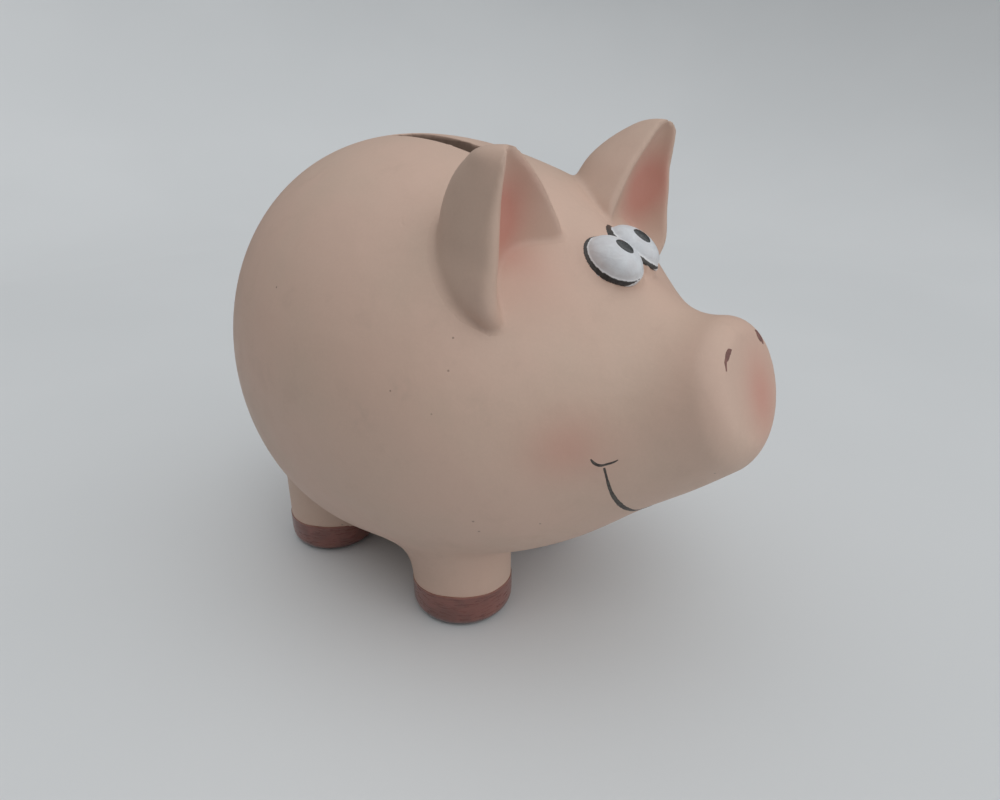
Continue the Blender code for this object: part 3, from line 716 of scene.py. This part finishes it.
def eye_enamel():
    """White with an ink outline where the "line" attribute is above 0."""
    mat = Finish("eye_enamel")
    brush = mat.noise(scale=0.5, detail=4.0, warp=0.6, stretch=(1.0, 0.5, 1.0))
    white = mat.blend(brush, (0.35, 0.7), (0.690, 0.715, 0.745), (0.630, 0.650, 0.680))
    cloud = mat.noise(scale=0.22)
    white = mat.blend(cloud, (0.45, 0.7), white, (0.60, 0.575, 0.590), to=(0.0, 0.35))
    wobble = mat.centred(mat.noise(scale=0.9, detail=2.0, rough=0.5), 0.36)
    line = mat.plus(mat.attribute("line"), wobble)
    ink = mat.blend(
        mat.noise(scale=1.6), (0.3, 0.7), (0.022, 0.018, 0.016), (0.050, 0.042, 0.038))
    rim = mat.times(
        mat.step(line, (-0.42, -0.12)), mat.step(line, (-0.10, 0.0), to=(1.0, 0.0)))
    col = mat.mix(mat.times(rim, 0.6), white, (0.80, 0.79, 0.79))
    col = mat.blend(line, (-0.05, 0.06), col, ink)
    swell = mat.plus(mat.times(brush, 0.5), mat.times(mat.step(line, (-0.5, 0.0)), 0.3))
    mat.bump(swell, distance=0.30)
    rough = mat.step(brush, (0.3, 0.8), to=(0.36, 0.50))
    return mat.finish(col, rough, coat=0.10, coat_rough=0.3)


def pupil_enamel():
    """Near black, greyer at the drop's edge."""
    mat = Finish("pupil_enamel")
    tone = mat.noise(scale=0.9)
    col = mat.blend(tone, (0.35, 0.7), (0.020, 0.023, 0.024), (0.048, 0.054, 0.056))
    edge = mat.attribute("edge")
    col = mat.blend(edge, (0.90, 0.99), col, (0.20, 0.21, 0.22), to=(0.0, 0.55))
    mat.bump(mat.noise(scale=1.2), distance=0.10)
    rough = mat.step(tone, (0.3, 0.8), to=(0.16, 0.30))
    return mat.finish(col, rough, coat=0.35, coat_rough=0.12)


def hoof_glaze():
    """Streaked red-brown, with painted shade darkening it near the floor, and lighter at the
    glaze edge.
    """
    mat = Finish("hoof_glaze")
    streak = mat.noise(scale=0.55, detail=5.0, rough=0.65, warp=0.8, stretch=(0.35, 0.35, 2.4))
    pool = mat.noise(scale=0.12)
    col = mat.blend(streak, (0.34, 0.72), (0.195, 0.076, 0.062), (0.262, 0.102, 0.082))
    col = mat.blend(pool, (0.46, 0.60), col, (0.150, 0.066, 0.056), to=(0.0, 0.60))
    fire = mat.noise(scale=0.30, detail=4.0, rough=0.7, warp=0.5, stretch=(0.6, 0.6, 2.0))
    col = mat.blend(fire, (0.60, 0.72), col, (0.400, 0.165, 0.105), to=(0.0, 0.40))
    height = mat.vec("DOT_PRODUCT", mat.mm, (0.0, 0.0, 1.0))
    # painted shade: the glaze turns near black in the last few millimetres above the floor, where
    # the hoof meets it
    col = mat.blend(height, (0.2, 3.4), col, (0.060, 0.034, 0.028), to=(0.75, 0.0))
    edge = mat.plus(mat.attribute("rim"), mat.centred(mat.noise(scale=0.8), 0.8))
    col = mat.blend(edge, (-0.9, -0.1), col, (0.36, 0.15, 0.10), to=(0.0, 0.45))
    mat.bump(streak, distance=0.08)
    rough = mat.step(streak, (0.3, 0.75), to=(0.24, 0.40))
    return mat.finish(col, rough, coat=0.30, coat_rough=0.22)


def stopper_rubber():
    mat = Finish("stopper_rubber")
    bloom = mat.noise(scale=0.30, detail=4.0)
    col = mat.blend(bloom, (0.35, 0.7), (0.030, 0.029, 0.028), (0.058, 0.056, 0.054))
    dust = mat.noise(scale=2.2, detail=2.0, rough=0.5)
    col = mat.blend(dust, (0.62, 0.75), col, (0.12, 0.115, 0.11), to=(0.0, 0.4))
    height = mat.plus(mat.noise(scale=3.0), mat.noise(scale=0.5, detail=2.0, rough=0.5))
    mat.bump(height, distance=0.05)
    return mat.finish(col, mat.step(bloom, (0.3, 0.8), to=(0.52, 0.68)), spec=0.4)


def stroke_paint(name, dark, light, rough):
    mat = Finish(name)
    tone = mat.noise(scale=0.8, detail=4.0, warp=0.5)
    col = mat.blend(tone, (0.32, 0.70), dark, light)
    mat.bump(mat.noise(scale=1.8), distance=0.08)
    return mat.finish(col, mat.step(tone, (0.3, 0.8), to=(rough, rough + 0.15)), spec=0.4)


def paper():
    mat = Finish("paper")
    grey = mat.blend(
        mat.noise(scale=0.004, rough=0.5), (0.3, 0.7), (0.700, 0.722, 0.735),
        (0.672, 0.695, 0.708))
    mat.bump(mat.noise(scale=0.6), distance=0.03)
    return mat.finish(grey, rough=0.85, spec=0.2)


SKIN = skin_paint(
    "painted_skin", base=(0.600, 0.434, 0.348), warm=(0.625, 0.437, 0.353),
    cool=(0.566, 0.427, 0.338))
EAR_SKIN = skin_paint(
    "painted_ear", base=(0.586, 0.420, 0.336), warm=(0.610, 0.423, 0.340),
    cool=(0.553, 0.413, 0.327))
EYE = eye_enamel()
PUPIL = pupil_enamel()
HOOF = hoof_glaze()
RUBBER = stopper_rubber()
INK = stroke_paint(
    "mouth_ink", dark=(0.040, 0.031, 0.028), light=(0.110, 0.098, 0.085), rough=0.5)
NOSE_INK = stroke_paint(
    "nostril_ink", dark=(0.170, 0.078, 0.066), light=(0.265, 0.132, 0.112), rough=0.55)


# ======================================================================
# Pieces
# ======================================================================
def build_body():
    """The cast shell; the grid is finer at the slot, the snout and the bore."""
    xs = stations(-66.0, 66.0, 1.7, (-5.4, 5.4, 0.42))
    ys = stations(-93.0, 88.0, 1.7, (-90.0, -70.0, 1.2), (-4.0, 37.0, 1.2))
    zs = stations(2.0, 142.0, 1.7, (128.0, 139.0, 0.55))
    verts, quads = surface(d_shell, xs, ys, zs, cap=0.5)
    ob = piece("body_shell_cast", verts, quads, SKIN, "painted_skin", "body_shell")
    paint(ob, "depth", d_skin(verts))
    paint(ob, "spray", painted_spray(verts))


def build_ear(name, side):
    low, high = (2.0, 62.0) if side > 0 else (-62.0, -2.0)
    grid = box_stations((low, -46.0, 84.0), (high, 14.0, 152.0), 0.9)
    verts, quads = surface(ear_piece(side), *grid, cap=0.4)
    ob = piece("ear_" + name + "_cast", verts, quads, EAR_SKIN, "painted_ear", "ear_" + name)
    paint(ob, "depth", np.zeros(len(verts)))
    paint(ob, "spray", painted_spray(verts))


def build_eye(name, eye):
    """A painted dome with its hand-drawn outline."""

    def form(pos):
        off, angle = eye.foot(pos)
        dist = np.maximum(eye.enamel(pos), off - 0.1 - eye.outline(angle))
        dist = np.maximum(dist, -(eye.local(pos)[..., 2] * eye.half[2] + 1.2))
        dist = np.maximum(dist, -(d_head(pos) + 2.0))
        return np.maximum(dist, 0.06 - pos[..., 0] * eye.side)

    reach = np.array([10.0, 11.0, 10.0])
    grid = box_stations(eye.centre - reach, eye.centre + reach, 0.33)
    verts, quads = surface(form, *grid, cap=0.15)
    ob = piece("eye_" + name + "_dome", verts, quads, EYE, "eye_enamel", "eye_" + name)
    # ink covers the wall under the dome's widest plane and the foot on the skin, and
    # leaves a hair of white beyond itself on the outer side
    off, angle = eye.foot(verts)
    ink = np.maximum(-eye.local(verts)[:, 2] * eye.half[2], 0.34 - d_head(verts))
    spare = 0.16 * smooth01(1.6 * np.cos(angle - 0.75) - 0.5)
    edge = (0.1 + eye.outline(angle) - spare - off) * 3.0 + 0.05
    paint(ob, "line", np.minimum(ink, edge))


PUPIL_WIDE, PUPIL_LONG, PUPIL_THICK = 1.65, 2.75, 0.28


def build_pupil(name, eye, rings=12, segs=56):
    """A thin crowned drop of paint lying on the eye."""
    a, b = eye.pupil
    seat = np.array([a, b, math.sqrt(1 - a * a - b * b)])
    centre = eye.point(seat)
    x, y, z = seat / eye.half
    out = unit(eye.across * x + eye.down * y + eye.out * z)
    down = unit(eye.down - out * (eye.down @ out))
    across = np.cross(down, out)
    angles = circle(segs)[:, None]
    oval = np.cos(angles) * across * PUPIL_WIDE + np.sin(angles) * down * PUPIL_LONG
    rows = []
    for k in range(rings + 1):
        share = k / rings
        flat = centre + share * oval
        for _ in range(14):
            flat = flat - out * eye.enamel(flat)[:, None] * 0.8
        normal = normals(eye.enamel, flat)
        rows.append(flat + normal * PUPIL_THICK * math.sqrt(max(0.0, 1 - share**4)))
    rows.append(flat - normal * 0.2)      # the edge tucked under the enamel
    verts = [rows[0].mean(0)] + [point for row in rows[1:] for point in row]
    faces = [(0, 1 + i, 1 + (i + 1) % segs) for i in range(segs)]
    faces += bands(rings + 1, segs, first=1)
    faces.append(tuple(reversed(range(1 + rings * segs, 1 + (rings + 1) * segs))))
    ob = piece(
        "pupil_" + name + "_drop", verts, faces, PUPIL, "pupil_enamel", "pupil_" + name)
    edges = [np.full(segs, min(1.0, k / rings)) for k in range(1, len(rows))]
    paint(ob, "edge", np.concatenate([[0.0]] + edges))


# ---- painted strokes: centre line (x, y, z) and full widths
SMILE = (
    (-30.8, -60.2, 73.6), (-30.0, -60.7, 70.5), (-28.0, -61.1, 65.7), (-25.5, -61.5, 61.9),
    (-22.0, -61.8, 58.2), (-18.1, -62.0, 55.2), (-14.2, -62.2, 53.1), (-11.3, -63.0, 52.6),
)
SMILE_W = (0.55, 0.65, 0.95, 1.25, 1.45, 1.30, 1.10, 0.75)
CHIN, CHIN_W = ((-5.0, -64.6, 51.2), (5.0, -64.6, 51.2)), (0.6, 0.6)
DIMPLE = (
    (-33.1, -57.6, 76.1), (-32.4, -58.5, 74.8), (-31.4, -59.6, 74.3), (-30.6, -60.6, 74.6),
    (-29.5, -61.9, 75.2), (-28.8, -62.8, 75.9),
)
DIMPLE_W = (0.35, 0.85, 0.80, 0.60, 0.55, 0.25)
# each nostril is a leaf drawn on the snout: centre line and half-width
NOSTRILS = {
    "right": (
        ((-6.9, -79.2, 101.8), 0.10), ((-8.0, -79.1, 101.7), 0.72), ((-9.0, -79.2, 101.3), 0.82),
        ((-10.0, -79.4, 100.6), 0.70), ((-10.9, -79.6, 100.1), 0.40),
        ((-11.4, -80.0, 99.3), 0.32), ((-11.9, -80.4, 98.2), 0.25)),
    "left": (
        ((9.7, -78.6, 101.9), 0.30), ((10.0, -79.0, 101.1), 1.15), ((10.5, -79.2, 100.4), 1.55),
        ((11.1, -79.7, 99.6), 1.35), ((11.5, -80.0, 99.0), 1.05), ((11.6, -80.4, 98.4), 0.60),
        ((11.6, -80.6, 97.9), 0.15)),
}


def ribbon(name, points, widths, mat, rows, lift=0.05):
    """A painted stroke with a crowned section, lying on the head."""
    points = np.array(points, float)
    steps = np.linalg.norm(np.diff(points, axis=0), axis=1)
    stops = np.concatenate([[0.0], np.cumsum(steps)])
    run = np.linspace(0.0, stops[-1], rows)
    line = np.stack([Spline(stops, points[:, i])(run) for i in range(3)], -1)
    wander = 0.5 + 0.5 * np.sin(run * 2.1) * np.sin(run * 0.83 + 1.0)
    width = np.interp(run, stops, widths) * (0.88 + 0.24 * wander)
    line = settle(d_head, line, 1.0, 4)
    tangent = np.gradient(line, axis=0)
    tangent /= np.linalg.norm(tangent, axis=-1, keepdims=True)
    normal = normals(d_head, line)
    side = np.cross(tangent, normal)

    def on_skin(across):
        return settle(d_head, line + side * (across * width / 2)[:, None], 0.3)

    columns = [on_skin(across) + normal * (0.012 + lift * (1 - across * across))
               for across in (-1.0, -0.7, -0.25, 0.25, 0.7, 1.0)]
    columns += [on_skin(across) - normal * 0.12 for across in (0.9, -0.9)]
    count = len(columns)
    faces = bands(rows, count, flip=True)
    faces.append(tuple(range(count)))
    faces.append(tuple(reversed(range((rows - 1) * count, rows * count))))
    piece(name, np.stack(columns, 1).reshape(-1, 3), faces, mat, "painted_skin")


def mirrored(points):
    return tuple((-x, y, z) for x, y, z in points)


def build_strokes():
    smile = SMILE + CHIN + mirrored(SMILE[::-1])
    ribbon("mouth_line", smile, SMILE_W + CHIN_W + SMILE_W[::-1], INK, rows=200)
    ribbon("dimple_right", DIMPLE, DIMPLE_W, INK, rows=40)
    ribbon("dimple_left", mirrored(DIMPLE), DIMPLE_W, INK, rows=40)
    for tag, leaf in NOSTRILS.items():
        points, halves = zip(*leaf)
        ribbon("nostril_" + tag, points, [2 * half for half in halves], NOSE_INK, rows=48)


# ---- hooves: glaze dipped to a hand-run line
HOOF_PROUD, HOOF_ROUND = 0.25, 4.2
# glaze edge: mean height, slant, direction of its high side in degrees, share of the wave
HOOF_EDGES = {"front_right": (10.5, 1.9, 225.0, 0.5), "rear_right": (10.6, 0.5, 200.0, 0.6)}
LEVEL_EDGE = (10.7, 0.0, 0.0, 1.0)


def hoof_line(tag, angle):
    """Height of the glaze edge round the leg; angle 0 points to +X."""
    wave = 0.35 * np.sin(2 * angle + 0.7) + 0.22 * np.sin(5 * angle + 1.9)
    wave = wave + 0.10 * np.sin(11 * angle)
    height, slant, high_side, share = HOOF_EDGES.get(tag, LEVEL_EDGE)
    return height + slant * np.cos(angle - math.radians(high_side)) + share * wave


def build_hoof(tag, x, y, leg_radius):
    radius, corner = leg_radius + HOOF_PROUD, HOOF_ROUND
    angles = circle(160)
    top = hoof_line(tag, angles)
    outline = [(sole, 0.0) for sole in (radius * 0.35, radius * 0.6, radius - corner)]
    for k in range(1, 13):
        turn = k / 12 * math.pi / 2
        outline.append(
            (radius - corner + corner * math.sin(turn), corner - corner * math.cos(turn)))
    for share in (0.25, 0.5, 0.75, 0.9, 0.965):
        swell = radius + 0.05 * math.sin(share * math.pi)
        outline.append((swell, corner + (top - corner) * share))
    # the glaze edge rolls over into the leg: steps outwards and up
    for out, rise in ((0.02, -0.10), (-0.08, -0.02), (-0.20, 0.0), (-0.45, -0.02), (-1.4, -0.3)):
        outline.append((radius + out, top + rise))
    rings = [ring(rad, height, angles, x, y) for rad, height in outline]
    verts, faces = turned((x, y, 0.0), rings, (x, y, 8.0), flip=True)
    ob = piece("hoof_" + tag + "_glaze", verts, faces, HOOF, "hoof_glaze", "hoof_" + tag)
    around = np.arctan2(verts[:, 1] - y, verts[:, 0] - x)
    paint(ob, "rim", verts[:, 2] - hoof_line(tag, around))


# ---- tail: one tapered roll curled flat on the rump
TAIL_Z, TAIL_ROOT_R, TAIL_TIP_R, TAIL_CURL, TAIL_TURNS = 92.0, 2.7, 1.7, 8.0, 1.35


def rump(x, z, lift):
    """The point that stands lift over the rump at x, z."""
    low, high = 20.0, 95.0
    for _ in range(40):
        mid = (low + high) / 2
        if d_head(np.array([[x, mid, z]]))[0] < 0:
            low = mid
        else:
            high = mid
    pos = np.array([[x, low, z]])
    return (pos + normals(d_head, pos) * lift)[0]


def d_capsule(pos, start, end, start_r, end_r):
    axis = end - start
    share = np.clip(((pos - start) @ axis) / (axis @ axis), 0.0, 1.0)
    reach = np.linalg.norm(pos - start - share[..., None] * axis, axis=-1)
    return reach - (start_r + (end_r - start_r) * share)


def build_tail():
    tail = []
    for k in range(46):
        share = k / 45.0
        angle = math.pi * 0.5 + 2 * math.pi * TAIL_TURNS * share
        curl = TAIL_CURL * (1.0 - 0.78 * share)
        lift = -1.8 + 2.6 * min(1.0, share / 0.2) + 1.2 * share
        x = -curl * math.cos(angle) * 1.05
        z = TAIL_Z + curl * math.sin(angle) - 0.5 * TAIL_CURL
        tail.append((rump(x, z, lift), TAIL_ROOT_R + (TAIL_TIP_R - TAIL_ROOT_R) * share))

    def form(pos):
        roll = np.full(pos.shape[:-1], 50.0)
        for (start, start_r), (end, end_r) in zip(tail, tail[1:]):
            roll = np.minimum(roll, d_capsule(pos, start, end, start_r, end_r))
        head = d_head(pos)
        dist = soft_or(roll, head, 2.4) + EDGE_SINK
        return np.maximum(np.maximum(dist, roll - 2.6), -(head + 2.5))

    points = np.array([point for point, _ in tail])
    grid = box_stations(points.min(0) - 6.0, points.max(0) + 6.0, 0.5)
    verts, quads = surface(form, *grid, cap=0.2)
    ob = piece("tail_curl", verts, quads, SKIN, "painted_skin", "tail")
    paint(ob, "depth", np.zeros(len(verts)))
    paint(ob, "spray", np.zeros(len(verts)))


# ---- rubber stopper, turned: a flange under the seat, a neck and a bead in the bore
GAP, FLANGE_R, FLANGE_T, NECK_R = 0.3, 13.0, 2.4, 8.8
BEAD_R, BEAD_Z, PLUG_TOP = 9.2, 17.8, 20.0
FLANGE_TOP = SEAT_Z - GAP
FLANGE_LOW = FLANGE_TOP - FLANGE_T
PLUG_PROFILE = (  # radius, z, from the top down and in under the flange
    (BEAD_R - 3.2, PLUG_TOP), (BEAD_R - 2.2, PLUG_TOP - 0.05), (BEAD_R - 1.2, PLUG_TOP - 0.35),
    (BEAD_R - 0.5, PLUG_TOP - 0.95), (BEAD_R - 0.1, BEAD_Z + 0.6), (BEAD_R, BEAD_Z),
    (BEAD_R - 0.15, BEAD_Z - 0.6), (NECK_R, BEAD_Z - 1.6), (NECK_R, FLANGE_TOP + 0.5),
    (NECK_R + 0.4, FLANGE_TOP), (FLANGE_R - 0.6, FLANGE_TOP),
    (FLANGE_R - 0.15, FLANGE_TOP - 0.15), (FLANGE_R, FLANGE_TOP - 0.6),
    (FLANGE_R, FLANGE_LOW + 1.0), (FLANGE_R - 0.15, FLANGE_LOW + 0.5),
    (FLANGE_R - 0.5, FLANGE_LOW + 0.15), (FLANGE_R - 1.0, FLANGE_LOW),
    (FLANGE_R - 3.6, FLANGE_LOW), (FLANGE_R - 4.0, FLANGE_LOW + 0.1),
    (FLANGE_R - 4.25, FLANGE_LOW + 0.35), (FLANGE_R - 4.5, FLANGE_LOW + 0.7),
    (FLANGE_R - 4.9, FLANGE_LOW + 0.8), (3.9, FLANGE_LOW + 0.8), (3.5, FLANGE_LOW + 0.7),
    (3.2, FLANGE_LOW + 0.35), (2.9, FLANGE_LOW + 0.1), (2.5, FLANGE_LOW),
)


def build_stopper():
    rings = [ring(radius, z, circle(96), y=BORE_Y) for radius, z in PLUG_PROFILE]
    verts, faces = turned((0.0, BORE_Y, PLUG_TOP), rings, (0.0, BORE_Y, FLANGE_LOW))
    piece("stopper_plug", verts, faces, RUBBER, "stopper_rubber", "stopper",
          body="plug", sharp=40)


build_body()
build_ear("left", 1.0)
build_ear("right", -1.0)
for eye_name, one_eye in EYES.items():
    build_eye(eye_name, one_eye)
for eye_name, one_eye in EYES.items():
    build_pupil(eye_name, one_eye)
build_strokes()
for leg_tag, (leg_x, leg_y, leg_r, *_) in LEGS.items():
    build_hoof(leg_tag, leg_x, leg_y, leg_r)
build_tail()
build_stopper()

# ======================================================================
# Stage, in metres: pale seamless floor, soft light, camera
# ======================================================================
scene = bpy.context.scene
scene.view_settings.view_transform = "Standard"
PAPER = paper()
FLAT, SWEEP = 0.50, 0.55      # radius of the flat floor, radius of the curve up from it


def lathe_sheet(name, profile, segs=128):
    """A turned sheet from (radius, height) pairs; the first may sit on the axis."""
    verts, faces, rows = [], [], []
    for radius, z in profile:
        if radius == 0.0:
            rows.append([len(verts)] * segs)
            verts.append((0.0, 0.0, z))
            continue
        rows.append([len(verts) + i for i in range(segs)])
        for i in range(segs):
            angle = 2 * math.pi * i / segs
            verts.append((radius * math.cos(angle), radius * math.sin(angle), z))
    for a, b in zip(rows, rows[1:]):
        for i in range(segs):
            j = (i + 1) % segs
            faces.append((a[i], b[i], b[j], a[j]) if a[i] != a[j] else (a[i], b[i], b[j]))
    mesh = bpy.data.meshes.new(name)
    mesh.from_pydata(verts, [], faces)
    mesh.shade_smooth()
    mesh.materials.append(PAPER)
    ob = bpy.data.objects.new(name, mesh)
    scene.collection.objects.link(ob)
    ob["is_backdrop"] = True
    return ob


def build_sheets():
    lathe_sheet("floor", [(0.0, 0.0), (0.12, 0.0), (0.25, 0.0), (FLAT, 0.0)])
    sweep = [(FLAT + SWEEP * math.sin(angle), SWEEP - SWEEP * math.cos(angle))
             for angle in np.linspace(0, math.pi / 2, 25)]
    back = lathe_sheet("backdrop", sweep + [(FLAT + SWEEP, 1.2), (FLAT + SWEEP, 2.4)])
    # only the camera sees the backdrop; the light round it comes from the world
    back.visible_diffuse = back.visible_glossy = False
    back.visible_transmission = back.visible_shadow = False


LIGHT_LOBES = (  # soft patches of the light tent: direction, tightness, strength
    ((0.0, 0.0, 1.0), 4.0, 1.14),           # above
    ((0.25, -0.95, 0.42), 3.0, 1.22),       # in front of the snout
    ((-0.6, 0.7, 0.45), 3.0, 0.36),         # behind, right
    ((0.5, 0.8, 0.45), 3.0, 0.21),          # behind, left
)


def build_world():
    world = bpy.data.worlds.new("studio")
    scene.world = world
    world.use_nodes = True
    nodes, links = world.node_tree.nodes, world.node_tree.links
    nodes.clear()
    coord = nodes.new("ShaderNodeTexCoord")

    def combine(op, a, b):
        node = nodes.new("ShaderNodeMath")
        node.operation = op
        for socket, value in zip(node.inputs, (a, b)):
            if isinstance(value, bpy.types.NodeSocket):
                links.new(value, socket)
            else:
                socket.default_value = value
        return node.outputs[0]

    def lobe(direction, power, strength):
        node = nodes.new("ShaderNodeVectorMath")
        node.operation = "DOT_PRODUCT"
        links.new(coord.outputs["Generated"], node.inputs[0])
        node.inputs[1].default_value = tuple(unit(direction))
        facing = combine("MAXIMUM", node.outputs["Value"], 0.0)
        return combine("MULTIPLY", combine("POWER", facing, power), strength)

    light = lobe(*LIGHT_LOBES[0])
    for row in LIGHT_LOBES[1:]:
        light = combine("ADD", light, lobe(*row))
    background = nodes.new("ShaderNodeBackground")
    background.inputs["Color"].default_value = (0.99, 1.0, 1.01, 1.0)
    links.new(light, background.inputs["Strength"])
    out = nodes.new("ShaderNodeOutputWorld")
    links.new(background.outputs[0], out.inputs[0])


LAMP_AT, LAMP_AIM = Vector((-0.45, -0.45, 0.9)), Vector((0.0, 0.0, 0.07))
LAMP_SIZE, LAMP_POWER, LAMP_COLOUR = 0.5, 1.1, (1.0, 0.99, 0.97)


def build_lamp():
    data = bpy.data.lights.new("soft_front", "AREA")
    data.shape, data.size, data.energy, data.color = "DISK", LAMP_SIZE, LAMP_POWER, LAMP_COLOUR
    ob = bpy.data.objects.new("soft_front", data)
    scene.collection.objects.link(ob)
    ob.location = LAMP_AT
    ob.rotation_mode = "QUATERNION"
    ob.rotation_quaternion = (LAMP_AIM - LAMP_AT).to_track_quat("-Z", "Y")


CAMERA_AT = Vector((-0.17346, -0.13790, 0.16864))
# heading from +Y, angle looking down, roll
HEADING, DOWN, ROLL = (math.radians(angle) for angle in (-52.355, 25.578, 0.154))
SENSOR, LENS = 36.0, 27.196


def build_camera():
    forward = Vector((
        -math.sin(HEADING) * math.cos(DOWN), math.cos(HEADING) * math.cos(DOWN), -math.sin(DOWN)))
    level = Vector((math.cos(HEADING), math.sin(HEADING), 0.0))
    upright = level.cross(forward)
    right = level * math.cos(ROLL) + upright * math.sin(ROLL)
    top = upright * math.cos(ROLL) - level * math.sin(ROLL)
    data = bpy.data.cameras.new("camera")
    data.sensor_width, data.lens = SENSOR, LENS
    data.clip_start, data.clip_end = 0.01, 20.0
    ob = bpy.data.objects.new("camera", data)
    scene.collection.objects.link(ob)
    basis = Matrix((right, top, -forward)).transposed().to_4x4()
    basis.translation = CAMERA_AT
    ob.matrix_world = basis
    scene.camera = ob


build_sheets()
build_world()
build_lamp()
build_camera()

SEEN_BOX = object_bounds()
boxes = {"cad": CAD_BOX, "visual": SEEN_BOX}
{key: [list(map(float, c)) for c in box] for key, box in boxes.items()}
